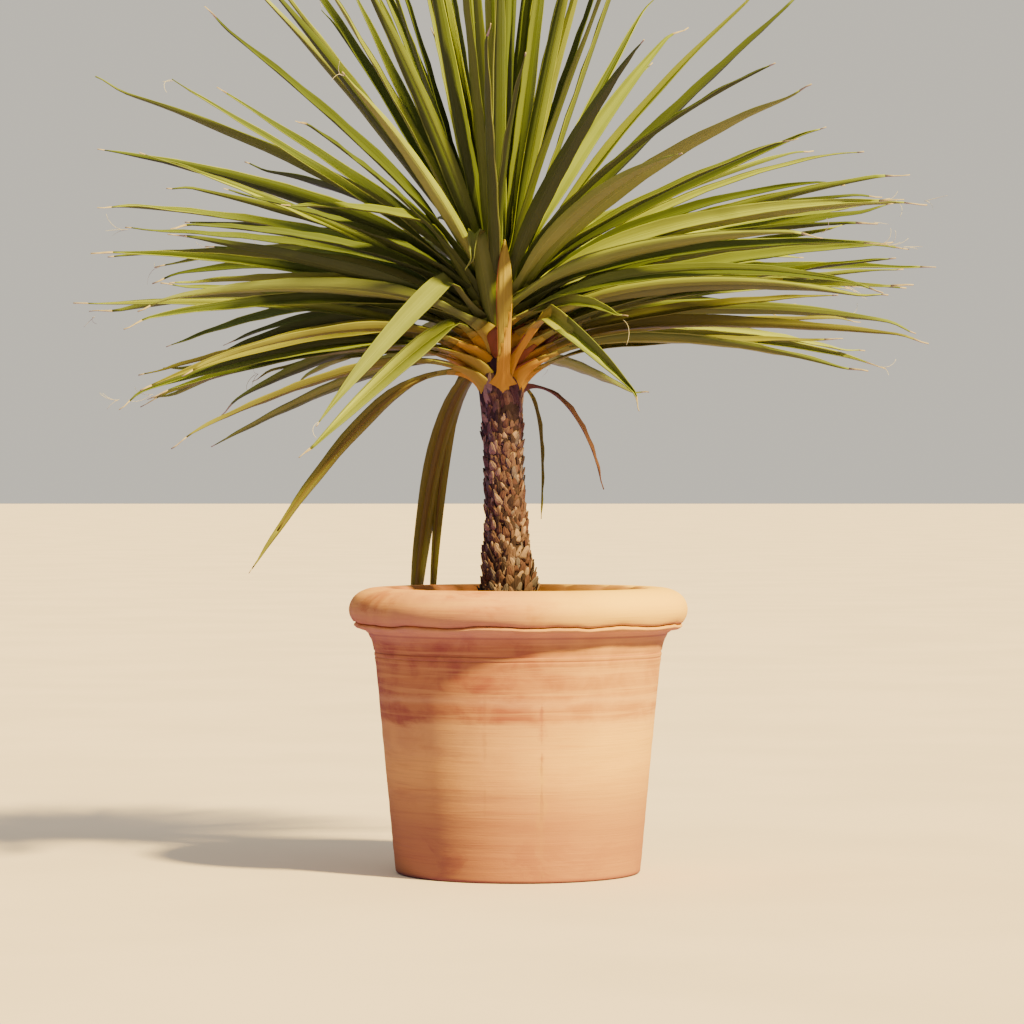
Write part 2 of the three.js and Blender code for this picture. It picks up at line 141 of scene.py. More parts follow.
class CrownSettings(bpy.types.PropertyGroup):
    blade: length("Blade", "Thickness of a leaf", 0.0014)
    wave: length("Wave", "How far a leaf's margins wave", 0.0011)
    finer: number("Finer leaves", "Leaves tried between those of the frame", 131)
    deep: colour("Deep green", "Leaves in the shade of the crown", "50571f")
    olive: colour("Olive", "Most leaves", "6d7328")
    bright: colour("Bright green", "Leaves that catch the sun", "909335")
    pale: colour("Pale green", "Palest leaves", "717430")
    tired: colour("Tired green", "Old, hanging leaves", "7c7629")
    dead: colour("Dead leaf", "The dry leaf", "6c4630")
    ochre: colour("Ochre", "Leaf bases", "c49024")
    gold: colour("Gold", "Some leaf bases, and where a base starts to turn green", "a2892b")
    amber: colour("Amber", "Reddish leaf bases, and the edges of others", "895024")
    rust: colour("Rust", "Stripe along the middle of old leaves", "766527")
    lime: colour("Lime", "Where a base has nearly turned green", "898530")
    straw: colour("Straw", "Dry tips", "ad9569")
    thread: colour("Thread", "Dry threads at the tips", "bcaa86")


class StageSettings(bpy.types.PropertyGroup):
    floor: colour("Floor", "Plain pale floor", "e7c8b4")
    bounce: colour("Bounce", "How the floor lights the plant from below", "8979e7")
    backdrop: colour("Backdrop", "Plain colour behind the plant", "dcd6c8")
    air: colour("Air", "Soft light from above", "f1fcf1")
    sun: colour("Key light", "Warm light from the front right", "fff09b")
    floor_size: length("Floor size", "Width of the floor", 240.0)
    air_high: strength("Air above", "Strength of the soft light overhead", 1.3)
    air_low: strength("Air at the horizon", "Strength of the soft light from the sides", 0.04)
    key_strength: strength("Key strength", "Strength of the key light", 15.2)
    key_angle: angle("Key spread", "How wide the key light is, which softens its shadows", 5)
    key_height: angle("Key height", "Elevation of the key light", 42.5)
    key_azimuth: angle("Key azimuth", "Where the key light comes from", -42)
    camera_distance: length("Camera distance", "From the camera to the pot's axis", 6.858)
    camera_height: length("Camera height", "Above the floor", 0.684)
    focal_length: FloatProperty(
        name="Focal length", description="Camera's focal length", default=137.1, unit="CAMERA"
    )


# Meshes


def smooth(x, low, high):
    """Blender's and three.js's smoothstep: 0 below low, 1 above high."""
    t = min(max((x - low) / (high - low), 0.0), 1.0)
    return t * t * (3 - 2 * t)


def add_object(name, data):
    made = bpy.data.objects.new(name, data)
    bpy.context.scene.collection.objects.link(made)
    return made


def surfaced(name, bm, surface):
    """A new object of the mesh, with its one material."""
    mesh = bpy.data.meshes.new(name)
    bm.to_mesh(mesh)
    bm.free()
    mesh.materials.append(surface)
    return add_object(name, mesh)


def finished(name, bm, surface, nodes=()):
    """Makes a piece of the mesh, which rides on the frame's only body."""
    piece = surfaced(name, bm, surface)
    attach(piece, "root")
    if nodes:
        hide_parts(*nodes)
    return piece


def faces_of(verts):
    return {face for vert in verts for face in vert.link_faces}


def shade_smooth(bm):
    for face in bm.faces:
        face.smooth = True


def thicken(piece, thickness):
    """Gives a piece of open sheets its thickness, half to each side."""
    wall = piece.modifiers.new("Thickness", "SOLIDIFY")
    wall.thickness = thickness
    wall.offset = 0


def lathe(bm, profile, sides):
    """Spins a profile of (radius, height) about the Z axis into a closed shell."""
    verts = [bm.verts.new((radius, 0, height)) for radius, height in profile]
    edges = [bm.edges.new(pair) for pair in zip(verts, verts[1:])]
    bmesh.ops.spin(
        bm, geom=verts + edges, axis=(0, 0, 1), cent=(0, 0, 0), angle=math.tau, steps=sides, use_merge=True
    )
    bmesh.ops.remove_doubles(bm, verts=bm.verts, dist=MERGE)
    bmesh.ops.recalc_face_normals(bm, faces=bm.faces)


def line(start, end, steps):
    """Points of (radius, height) from start to end, the start left out."""
    return [
        (start[0] + (end[0] - start[0]) * i / steps, start[1] + (end[1] - start[1]) * i / steps)
        for i in range(1, steps + 1)
    ]


def curve(start, pull, end, steps):
    """Points of a quadratic curve pulled towards a point, the start left out."""
    return [
        tuple((1 - t) ** 2 * a + 2 * t * (1 - t) * b + t * t * c for a, b, c in zip(start, pull, end))
        for t in (i / steps for i in range(1, steps + 1))
    ]


def arc(centre, radii, begin, finish, steps):
    """Points of an ellipse from one angle to another, both ends in."""
    angles = [math.radians(begin + (finish - begin) * i / steps) for i in range(steps + 1)]
    return [(centre[0] + radii[0] * math.cos(a), centre[1] + radii[1] * math.sin(a)) for a in angles]


def across_of(x):
    """Crowds a grid's columns towards its edges."""
    return math.sin(x * math.pi / 2)


def along_of(y):
    """Crowds a grid's rows towards its two ends."""
    t = (y + 1) / 2
    return t - 0.5 * math.sin(math.tau * t) / math.tau


def ribbon(bm, across, along, place, kinds, kind_of, breadth_of):
    """Lays a grid where place(u, s) says, u from -1 to 1 and s from 0 to 1, and deals its faces kinds.

    The UV map is in metres across the ribbon, and in shares of its length along it.
    """
    made = bmesh.ops.create_grid(bm, x_segments=across, y_segments=along, size=1)["verts"]
    layer = bm.loops.layers.uv.verify()
    for face in faces_of(made):
        middle = face.calc_center_median()
        face.material_index = kinds.index(kind_of(across_of(middle.x), along_of(middle.y)))
        for loop in face.loops:
            u, s = across_of(loop.vert.co.x), along_of(loop.vert.co.y)
            loop[layer].uv = (u * breadth_of(s) / 2, s)
    for vert in made:
        vert.co = place(across_of(vert.co.x), along_of(vert.co.y))


def of_kind(bm, kind):
    """A copy of a mesh with only the faces of one kind."""
    part = bm.copy()
    others = [face for face in part.faces if face.material_index != kind]
    bmesh.ops.delete(part, geom=others, context="FACES")
    for face in part.faces:
        face.material_index = 0
    return part


# Materials


class Shader:
    """A material or a node group, and short ways to add and join its nodes."""

    def __init__(self, tree):
        self.tree = tree

    def node(self, kind, inputs=None, **settings):
        made = self.tree.nodes.new(kind)
        for name, value in settings.items():
            setattr(made, name, value)
        for name, value in (inputs or {}).items():
            if isinstance(value, bpy.types.NodeSocket):
                self.tree.links.new(value, made.inputs[name])
            else:
                made.inputs[name].default_value = value
        return made

    def math(self, operation, a, b=0.0):
        return self.node("ShaderNodeMath", {0: a, 1: b}, operation=operation).outputs[0]

    def plus(self, a, b):
        return self.math("ADD", a, b)

    def times(self, a, b):
        return self.math("MULTIPLY", a, b)

    def away_from(self, value, middle):
        """How far a value lies from a middle, to either side."""
        return self.math("ABSOLUTE", self.math("SUBTRACT", value, middle))

    def spread(self, value, low, high, to_low=0.0, to_high=1.0):
        """A value mapped smoothly from one range to another."""
        settings = {"Value": value, "From Min": low, "From Max": high, "To Min": to_low, "To Max": to_high}
        return self.node("ShaderNodeMapRange", settings, interpolation_type="SMOOTHSTEP").outputs["Result"]

    def mix(self, share, a, b):
        """Mixes two colours, each a socket or three numbers."""
        a, b = (tone if isinstance(tone, bpy.types.NodeSocket) else (*tone, 1) for tone in (a, b))
        return self.node("ShaderNodeMix", {0: share, 6: a, 7: b}, data_type="RGBA").outputs[2]

    def layered(self, tone, *layers):
        """Lays colours over a tone in turn, each with its mask."""
        for mask, layer in layers:
            tone = self.mix(mask, tone, layer)
        return tone

    def noise(self, place, scale, detail=3.0, roughness=0.5, distortion=0.0):
        settings = {"Vector": place, "Scale": scale, "Detail": detail, "Roughness": roughness}
        return self.node("ShaderNodeTexNoise", settings | {"Distortion": distortion}).outputs["Fac"]

    def stretched(self, scale):
        """Object coordinates, scaled along each axis."""
        return self.node("ShaderNodeMapping", {"Vector": self.place, "Scale": scale}).outputs["Vector"]

    def streaks(self, scale, *look):
        """Noise that is stretched along the axes with the smaller scales."""
        return self.noise(self.stretched(scale), 1.0, *look)

    def bump(self, height, distance, strength=1.0, normal=None):
        settings = {"Height": height, "Distance": distance, "Strength": strength}
        if normal:
            settings["Normal"] = normal
        return self.node("ShaderNodeBump", settings).outputs["Normal"]


def material(name, roughness, specular):
    """A new material with a Principled surface, as a Shader with its object and UV coordinates."""
    made = bpy.data.materials.new(name)
    made.use_nodes = True
    shader = Shader(made.node_tree)
    shader.material = made
    shader.surface = made.node_tree.nodes["Principled BSDF"]
    shader.surface.inputs["Roughness"].default_value = roughness
    shader.surface.inputs["Specular IOR Level"].default_value = specular
    places = shader.node("ShaderNodeTexCoord")
    shader.place = places.outputs["Object"]
    shader.uv = places.outputs["UV"]
    return shader


def finish_surface(shader, tone, rough=None, normal=None):
    """Joins the surface's base colour, and its roughness and normal where given."""
    for name, value in (("Base Color", tone), ("Roughness", rough), ("Normal", normal)):
        if value:
            shader.tree.links.new(value, shader.surface.inputs[name])
    return shader.material


def group(name, numbers, masks):
    """A new node group, a vector and numbers in and masks out, as a Shader, or None where it exists."""
    if name in bpy.data.node_groups:
        return None
    tree = bpy.data.node_groups.new(name, "ShaderNodeTree")
    tree.interface.new_socket("Vector", in_out="INPUT", socket_type="NodeSocketVector")
    for socket, value in numbers.items():
        made = tree.interface.new_socket(socket, in_out="INPUT", socket_type="NodeSocketFloat")
        made.default_value = value
    for socket in masks:
        tree.interface.new_socket(socket, in_out="OUTPUT", socket_type="NodeSocketFloat")
    shader = Shader(tree)
    shader.given = shader.node("NodeGroupInput").outputs
    shader.result = shader.node("NodeGroupOutput").inputs
    return shader


def placed_group(shader, name, inputs):
    return shader.node("ShaderNodeGroup", inputs, node_tree=bpy.data.node_groups[name]).outputs


def grain_group():
    """Fine grain with coarser mottling, for clay, compost and bark."""
    shader = group("Grain", {"Fine": 400.0, "Coarse": 12.0}, ("Grain", "Mottle"))
    if not shader:
        return
    fine = shader.noise(shader.given["Vector"], shader.given["Fine"], 2.0, 0.6)
    coarse = shader.noise(shader.given["Vector"], shader.given["Coarse"], 4.0, 0.55, 0.4)
    shader.tree.links.new(fine, shader.result["Grain"])
    shader.tree.links.new(shader.spread(coarse, 0.35, 0.65), shader.result["Mottle"])


def vein_group():
    """Fine veins that run the length of a blade, and its midrib, from the blade's UV map."""
    shader = group("Veins", {"Veins": 330.0, "Length": 1.6}, ("Veins", "Midrib"))
    if not shader:
        return
    parts = shader.node("ShaderNodeSeparateXYZ", {"Vector": shader.given["Vector"]}).outputs
    across = shader.times(parts["X"], shader.given["Veins"])
    along = shader.times(parts["Y"], shader.given["Length"])
    place = shader.node("ShaderNodeCombineXYZ", {"X": across, "Y": along}).outputs["Vector"]
    veins = shader.noise(place, 1.0, 1.0, 0.5)
    shader.tree.links.new(shader.spread(veins, 0.3, 0.7), shader.result["Veins"])
    midrib = shader.spread(shader.math("ABSOLUTE", parts["X"]), 0.0004, 0.0016, 1.0, 0.0)
    shader.tree.links.new(midrib, shader.result["Midrib"])


def banded(shader, settings, height):
    """The clay's bands of colour up the wall."""
    bands = shader.node("ShaderNodeValToRGB", {"Fac": shader.math("DIVIDE", height, settings.height)})
    ramp = bands.color_ramp
    while len(ramp.elements) < len(CLAY_BANDS):
        ramp.elements.new(0.5)
    for element, (place, name) in zip(ramp.elements, CLAY_BANDS):
        element.position = place / settings.height
        element.color = (*getattr(settings, f"{name}_clay"), 1)
    return bands.outputs["Color"]


def seamed(shader, settings, parts, tone):
    """Upright seams low on the front: ragged stripes, paler below, each with a broken crack."""
    low = shader.spread(parts["Z"], *SEAM_TOP, 1.0, 0.0)
    here = shader.times(shader.math("LESS_THAN", parts["Y"], 0.0), low)
    ragged = shader.times(shader.noise(shader.place, 19.0, 4.0, 0.7), SEAM_RAGGED)
    broken = shader.spread(shader.streaks((1, 1, 16), 3.0), 0.44, 0.58)
    redder = shader.spread(parts["Z"], *SEAM_TURN)
    stripe_clay = shader.mix(redder, settings.painted_sun_and_seam_clay, settings.flush_clay)
    for middle, width, strength in SEAMS:
        beside = shader.away_from(parts["X"], middle)
        stripe = shader.spread(shader.plus(beside, ragged), width, width + SEAM_EDGE, strength, 0.0)
        tone = shader.mix(shader.times(stripe, here), tone, stripe_clay)
        crack = shader.spread(shader.plus(beside, shader.times(ragged, 0.3)), *CRACK, 0.55, 0.0)
        crack = shader.times(shader.times(crack, broken), shader.times(here, strength))
        tone = shader.mix(crack, tone, settings.dark_clay_and_painted_shade)
    return tone


def clay(settings):
    """Hand-thrown clay: bands up the wall, streaks round it, clouds, painted sunlight on the right, painted
    shade in the grooves, under the roll and inside, a darker foot, seams and grain.
    """
    shader = material("clay", 0.88, 0.15)
    parts = shader.node("ShaderNodeSeparateXYZ", {"Vector": shader.place}).outputs
    thrown_height = shader.node("ShaderNodeSeparateXYZ", {"Vector": shader.uv}).outputs["Y"]
    sway = shader.math("SUBTRACT", shader.streaks((3.2, 3.2, 7), 5.0, 0.62, 0.8), 0.5)
    tone = banded(shader, settings, shader.plus(parts["Z"], shader.times(sway, BAND_SWAY)))
    marks = {name: shader.streaks(*look) for name, look in CLAY_MARKS.items()}
    for name, low, high, share_low, share_high, clay_name in CLAY_STREAKS:
        streak = shader.spread(marks[name], low, high, share_low, share_high)
        tone = shader.mix(streak, tone, getattr(settings, f"{clay_name}_clay"))

    at_foot = shader.spread(parts["Z"], *CLOUDY_FOOT, 0.9, 0.15)
    at_rim = shader.spread(parts["Z"], *RIM_FROM, 0.0, 0.7)
    at_body = shader.spread(parts["Z"], *PAINTED_SUN_FADE, 0.6, 0.3)
    clouds = shader.spread(marks["clouds"], 0.49, 0.6)
    grain = placed_group(shader, "Grain", {"Vector": shader.place, "Fine": 700.0, "Coarse": 16.0})
    smear = shader.times(shader.noise(shader.place, 24.0, 4.0, 0.7), 0.012)
    under_roll = shader.plus(shader.away_from(thrown_height, CREVICE[1]), smear)
    # Painted sunlight: the right side, where the key light falls, is painted paler, most on the rim and low
    # on the body.
    sunlit = shader.times(shader.spread(parts["X"], *SUN_SIDE), shader.plus(at_rim, at_body))
    specks = shader.spread(shader.noise(shader.place, 120.0, 3.0, 0.7), 0.74, 0.79, 0.0, 0.5)
    tone = shader.layered(
        tone,
        (shader.times(clouds, shader.plus(at_foot, at_rim)), settings.flush_clay),
        (shader.times(grain["Mottle"], 0.25), settings.tan_clay),
        (sunlit, settings.painted_sun_and_seam_clay),
        (specks, settings.dark_clay_and_painted_shade),
        # Painted shade in the crevice under the rim's roll.
        (shader.spread(under_roll, 0.004, 0.012, 0.5, 0.0), settings.dark_clay_and_painted_shade),
    )
    # Painted shade in the grooves round the collar.
    for place, _, width in GROOVES:
        groove_shade = shader.spread(shader.away_from(thrown_height, place), width * 0.4, width * 1.5, 0.5, 0.0)
        tone = shader.mix(groove_shade, tone, settings.dark_clay_and_painted_shade)
    tone = seamed(shader, settings, parts, tone)
    # Darker in a thin band at the very foot, and painted shade inside the pot. The inside's mask also
    # darkens the lower outer wall, which lies within its radii.
    across = shader.node("ShaderNodeVectorMath", {0: shader.stretched((1, 1, 0))}, operation="LENGTH")
    for value, reach in ((parts["Z"], DARK_FOOT), (across.outputs["Value"], PAINTED_SHADE_INSIDE)):
        tone = shader.mix(shader.spread(value, *reach, 0.75, 0.0), tone, settings.dark_clay_and_painted_shade)

    rough = shader.spread(grain["Grain"], 0.3, 0.7, 0.8, 0.96)
    rings = shader.bump(shader.plus(marks["wiped"], shader.times(marks["brushed"], 0.35)), 0.0016, 0.6)
    fine = shader.bump(grain["Grain"], 0.0003, 0.5, rings)
    return finish_surface(shader, tone, rough, fine)


def toned(base, times):
    """A colour made darker or lighter."""
    return [min(1, c * times) for c in base]


def crumbly(name, base, lift, scale):
    """Compost and bark chips: a dark base with lighter grains."""
    shader = material(name, 0.95, 0.15)
    grain = placed_group(shader, "Grain", {"Vector": shader.place, "Fine": scale * 6, "Coarse": scale})
    tone = shader.layered(
        base,
        (shader.times(grain["Mottle"], lift), toned(base, 2.4)),
        (shader.spread(grain["Grain"], 0.5, 0.7, 0.0, 0.6), toned(base, 0.4)),
    )
    rough = shader.spread(grain["Grain"], 0.3, 0.7, 0.85, 1.0)
    lumps = shader.bump(grain["Grain"], 0.0015)
    return finish_surface(shader, tone, rough, lumps)


def bark(settings):
    """Fibrous bark: dark hollows, with paler fibres that run up the trunk."""
    shader = material("bark", 0.92, 0.2)
    fibres = shader.streaks((160, 160, 26), 4.0, 0.6)
    grain = placed_group(shader, "Grain", {"Vector": shader.place, "Fine": 420.0, "Coarse": 38.0})
    mottled = shader.mix(grain["Mottle"], settings.bark, settings.dark_scale)
    lined = shader.mix(shader.spread(fibres, 0.52, 0.72, 0.0, 0.55), mottled, settings.brown_scale)
    rough = shader.spread(fibres, 0.3, 0.7, 0.84, 1.0)
    rind = shader.bump(fibres, 0.0014, 0.8, shader.bump(grain["Grain"], 0.0005, 0.6))
    return finish_surface(shader, lined, rough, rind)


def scale_material(name, base):
    """A dry leaf base on the bark, with fibres along it."""
    shader = material(name, 0.85, 0.2)
    veins = placed_group(shader, "Veins", {"Vector": shader.uv, "Veins": 900.0, "Length": 2.0})
    worn = shader.noise(shader.place, 90.0, 3.0, 0.6)
    tone = shader.layered(
        base,
        (shader.times(veins["Veins"], 0.4), toned(base, 0.5)),
        (shader.spread(worn, 0.45, 0.7, 0.0, 0.55), toned(base, 0.42)),
    )
    rough = shader.spread(worn, 0.3, 0.7, 0.75, 0.95)
    fibres = shader.bump(veins["Veins"], 0.0007)
    return finish_surface(shader, tone, rough, fibres)


def leaf_material(name, base):
    """A sword leaf: fine lengthwise veins, a slightly paler midrib and a soft, uneven sheen."""
    shader = material(name, 0.56, 0.08)
    veins = placed_group(shader, "Veins", {"Vector": shader.uv})
    drift = shader.noise(shader.place, 9.0, 3.0, 0.6)
    tone = shader.layered(
        base,
        (shader.times(veins["Veins"], 0.22), toned(base, 0.62)),
        (shader.times(veins["Midrib"], 0.25), toned(base, 1.6)),
        (shader.spread(drift, 0.4, 0.65, 0.0, 0.22), toned(base, 1.35)),
    )
    rough = shader.spread(veins["Veins"], 0.0, 1.0, 0.5, 0.66)
    ridges = shader.plus(veins["Veins"], shader.times(veins["Midrib"], 2.0))
    ribs = shader.bump(ridges, 0.0005, 0.6)
    return finish_surface(shader, tone, rough, ribs)


# Pot


def inner_radius(settings, height):
    """The inside of the wall, which slopes as the outside does."""
    slope = (SHOULDER[0] - settings.foot_radius) / (SHOULDER[1] - FOOT_ROUND)
    return settings.foot_radius - settings.wall + slope * (height - FOOT_ROUND)


FOOT_ROUND = 0.006
SHOULDER = (0.251, 0.363)
COLLAR = (0.2545, 0.388)
COVE = (0.262, 0.414)
BEAD_FOOT = (0.2725, 0.4265)
BEAD = (0.2865, 0.4342)
BEAD_RADII = (0.0035, 0.0042)
CREVICE = (0.2835, 0.4388)
ROLL_INSET = 0.05
ROLL_HALF_HEIGHT = 0.038
ROLL_FROM = -34
LIP = 0.018
FLOOR = 0.03
INNER_ROUND = 0.014
GROOVES = ((0.3795, 0.0012, 0.0011), (0.3875, 0.0018, 0.0012), (0.4195, 0.0012, 0.0018))

# The clay's look. Each pair of heights or places is a range over which it changes.
BAND_SWAY = 0.075
CLAY_BANDS = (
    (0.0, "orange"),
    (0.03, "orange"),
    (0.08, "tan"),
    (0.185, "tan"),
    (0.23, "cream"),
    (0.27, "cream"),
    (0.283, "pink"),
    (0.302, "pink"),
    (0.314, "cove"),
    (0.326, "pink"),
    (0.4, "pink"),
    (0.425, "cove"),
    (0.455, "rim"),
)
# Scale along each axis, detail, roughness and distortion of the noise
CLAY_MARKS = {
    "wiped": ((2.2, 2.2, 52), 6.0, 0.62, 0.4),
    "brushed": ((8, 8, 330), 4.0, 0.6),
    "stroked": ((3.1, 3.1, 110), 5.0, 0.6, 0.3),
    "clouds": ((6, 6, 11), 6.0, 0.66, 0.6),
}
# A mark's range, the share of the clay below and above it, and the clay
CLAY_STREAKS = (
    ("wiped", 0.34, 0.47, 0.65, 0.0, "cream"),
    ("wiped", 0.52, 0.64, 0.0, 0.4, "flush"),
    ("brushed", 0.52, 0.72, 0.0, 0.34, "flush"),
    ("stroked", 0.5, 0.66, 0.0, 0.45, "cream"),
)
CLOUDY_FOOT = (0.03, 0.1)
# Heights over which the painted sunlight on the body weakens upwards
PAINTED_SUN_FADE = (0.24, 0.29)
RIM_FROM = (0.425, 0.455)
SUN_SIDE = (-0.07, 0.19)
# Heights of the darker foot, and radii within which the clay takes painted shade inside the pot
DARK_FOOT = (0.002, 0.011)
PAINTED_SHADE_INSIDE = (0.222, 0.238)
SEAMS = ((0.04, 0.02, 0.75), (-0.057, 0.014, 0.3))
SEAM_TOP = (0.3, 0.34)
SEAM_TURN = (0.19, 0.225)
SEAM_EDGE = 0.014
SEAM_RAGGED = 0.05
CRACK = (0.008, 0.0105)


def pot_profile(settings):
    foot = settings.foot_radius
    roll = (settings.rim_radius - ROLL_INSET, settings.height - ROLL_HALF_HEIGHT)
    lip = (roll[0] - LIP, settings.height - LIP)
    inner_collar = (inner_radius(settings, COLLAR[1]), COLLAR[1])
    inner_foot = (inner_radius(settings, FLOOR + INNER_ROUND), FLOOR + INNER_ROUND)
    floor_edge = (inner_radius(settings, FLOOR) - INNER_ROUND, FLOOR)
    points = [(0, 0)]
    points += line(points[-1], (foot - FOOT_ROUND, 0), 8)
    points += curve(points[-1], (foot, 0), (foot, FOOT_ROUND), 4)
    points += line(points[-1], SHOULDER, 44)
    points += line(points[-1], COLLAR, 26)
    points += curve(points[-1], (COLLAR[0] + 0.002, COVE[1] - 0.008), COVE, 8)
    points += curve(points[-1], (COVE[0] + 0.004, BEAD_FOOT[1] - 0.004), BEAD_FOOT, 5)
    points += curve(points[-1], (BEAD[0], BEAD_FOOT[1] + 0.001), (BEAD[0] + 0.0015, BEAD[1] - 0.002), 4)
    points += arc(BEAD, BEAD_RADII, -20, 80, 4)
    points += [CREVICE]
    points += arc(roll, (ROLL_INSET, ROLL_HALF_HEIGHT), ROLL_FROM, 90, 22)
    points += arc(lip, (LIP, LIP), 90, 180, 8)[1:]
    points += line(points[-1], inner_collar, 10)
    points += line(points[-1], inner_foot, 20)
    points += curve(points[-1], (inner_foot[0] - 0.002, FLOOR), floor_edge, 4)
    points += line(points[-1], (0, FLOOR), 10)
    return points


def thrown(point, settings):
    """Where a true pot's point lies on a hand-thrown one. The wobble only takes clay away."""
    across = math.hypot(point.x, point.y)
    if across < MERGE:
        return point
    out = Vector((point.x / across, point.y / across, 0))
    slow = noise.noise(Vector((out.x * 1.1, out.y * 1.1, point.z * 2.5)))
    lumps = noise.noise(Vector((out.x * 4.2 + 7, out.y * 4.2, point.z * 9)))
    rim = smooth(point.z, settings.height - 0.075, settings.height - 0.03)
    shift = settings.wobble * (0.6 * slow - 0.6 + rim * (0.9 * lumps - 0.5))
    lift = 0.0
    if across > inner_radius(settings, point.z) + settings.wall / 2:
        near_crevice = math.exp(-(((point.z - CREVICE[1]) / 0.011) ** 2))
        lift = 0.0042 * near_crevice * noise.noise(Vector((out.x * 3.1, out.y * 3.1, 4.0)))
        lift += 0.0014 * near_crevice * noise.noise(Vector((out.x * 13, out.y * 13, 9.0)))
        for height, depth, width in GROOVES:
            waver = 0.0016 * noise.noise(Vector((out.x * 2.3, out.y * 2.3, height * 50)))
            shift -= depth * math.exp(-(((point.z - height - waver) / width) ** 2))
        shift += 0.0006 * noise.noise(Vector((out.x * 0.9, out.y * 0.9, point.z * 52)))
    inner_lip = smooth(settings.rim_radius - across, 0.052, 0.068) * rim
    dents = max(0.0, noise.noise(Vector((out.x * 6.5, out.y * 6.5, 1.7))) - 0.18)
    lift -= 0.012 * dents * inner_lip
    return point + out * shift + Vector((0, 0, lift))


class CORDYLINE_OT_pot(bpy.types.Operator):
    """Makes the hand-thrown pot with its rolled rim"""

    bl_idname = "cordyline.pot"
    bl_label = "Pot"

    def execute(self, context):
        settings = context.scene.cordyline_pot
        bm = bmesh.new()
        lathe(bm, pot_profile(settings), settings.sides)
        layer = bm.loops.layers.uv.verify()
        for loop in (loop for face in bm.faces for loop in face.loops):
            loop[layer].uv = (loop.vert.co.x, loop.vert.co.z)
        for vert in bm.verts:
            vert.co = thrown(vert.co, settings)
        shade_smooth(bm)
        finished("thrown_pot", bm, clay(settings), ["pot"])
        return {"FINISHED"}


# Compost

SOIL_EDGE_DROP = 0.008
SOIL_FLAT_RADIUS = 0.075
SOIL_CLEARANCE = 0.0003
SOIL_SIDES = 150
CRUMB_MARGIN = 0.008
CRUMB_FREE_RADIUS = 0.06
CHIP_SHARE = 0.3


def scatter(seed, index, count):
    """A place on a disc of radius 1 that suits the index, spread evenly and a little shaken."""
    turn = math.radians(index * TURN + spread(index, seed, 24))
    radius = math.sqrt((index + 0.5) / count)
    return radius * math.cos(turn), radius * math.sin(turn)


def compost_profile(settings, rim, edge):
    """The compost's section: just clear of the pot, sloping in from the wall, and flat round the trunk."""
    low = FLOOR + SOIL_CLEARANCE
    points = [(0, low)]
    points += line(points[-1], (inner_radius(settings, FLOOR) - INNER_ROUND - SOIL_CLEARANCE, low), 6)
    points += [(inner_radius(settings, FLOOR + INNER_ROUND) - SOIL_CLEARANCE, FLOOR + INNER_ROUND)]
    points += line(points[-1], (rim, COLLAR[1]), 6)
    points += line(points[-1], (rim, edge), 4)
    points += line(points[-1], (SOIL_FLAT_RADIUS, edge + SOIL_EDGE_DROP), 52)
    points += line(points[-1], (0, edge + SOIL_EDGE_DROP), 20)
    return points


def add_crumb(bm, index, settings, rim):
    """Adds a crumb, or a flat bark chip, where none lies under the trunk."""
    x, y = scatter(11, index, settings.crumbs)
    across = math.hypot(x, y) * (rim - CRUMB_MARGIN)
    if across < CRUMB_FREE_RADIUS:
        return
    size = 0.0022 + 0.004 * chance(index, 12) ** 2
    height = settings.height - SOIL_EDGE_DROP * smooth(across, SOIL_FLAT_RADIUS, rim)
    centre = Vector((x * (rim - CRUMB_MARGIN), y * (rim - CRUMB_MARGIN), height + size * 0.1))
    chip = chance(index, 13) < CHIP_SHARE
    turn = Quaternion(Vector((spread(index, 14, 1), spread(index, 15, 1), 1)).normalized(), index)
    shape = Matrix.Diagonal((2.4, 1.1, 0.35, 1)) if chip else Matrix.Diagonal((1.1, 0.9, 0.75, 1))
    place = Matrix.Translation(centre) @ turn.to_matrix().to_4x4() @ shape
    made = bmesh.ops.create_icosphere(bm, subdivisions=1, radius=size, matrix=place)["verts"]
    for face in faces_of(made):
        face.material_index = int(chip)


class CORDYLINE_OT_compost(bpy.types.Operator):
    """Makes the compost that fills the pot, with its crumbs and bark chips"""

    bl_idname = "cordyline.compost"
    bl_label = "Compost"

    def execute(self, context):
        settings = context.scene.cordyline_soil
        pot = context.scene.cordyline_pot
        edge = settings.height - SOIL_EDGE_DROP
        rim = inner_radius(pot, COLLAR[1]) - SOIL_CLEARANCE
        bm = bmesh.new()
        lathe(bm, compost_profile(pot, rim, edge), SOIL_SIDES)
        for vert in bm.verts:
            if vert.co.z > edge - MERGE:
                coarse = noise.noise(vert.co * 34)
                fine = noise.noise(vert.co * 130)
                vert.co.z += settings.lump * (0.7 * coarse + 0.55 * fine - 0.35)
        shade_smooth(bm)
        surface = crumbly("compost", settings.compost, 0.5, 60.0)
        finished("compost_bed", bm, surface, ["soil"])
        crumbs = bmesh.new()
        for index in range(settings.crumbs):
            add_crumb(crumbs, index, settings, rim)
        for kind, name, tone in ((0, "crumb", settings.compost), (1, "chip", settings.chip)):
            surface = crumbly(name, tone, 0.35, 90.0)
            finished(f"compost_{name}s", of_kind(crumbs, kind), surface)
        crumbs.free()
        return {"FINISHED"}


# Trunk

TRUNK_FOOT = 0.4553
TRUNK_OUTLINE = (
    (TRUNK_FOOT, 0.053),
    (0.476, 0.0485),
    (0.510, 0.0455),
    (0.560, 0.041),
    (0.620, 0.0362),
    (0.700, 0.0338),
    (0.780, 0.0354),
    (0.838, 0.040),
)
TRUNK_X = -0.016
TRUNK_LEAN = -0.036
LEAN_FROM = 0.455
TIP_AGES = (0.2, 0.4, 0.55, 0.7)
BARK_SIDES = 128
BARK_STEP = 0.0028
INTERNODE = 0.0062
SCAR_TURN = 34
SCAR_RISE = 7


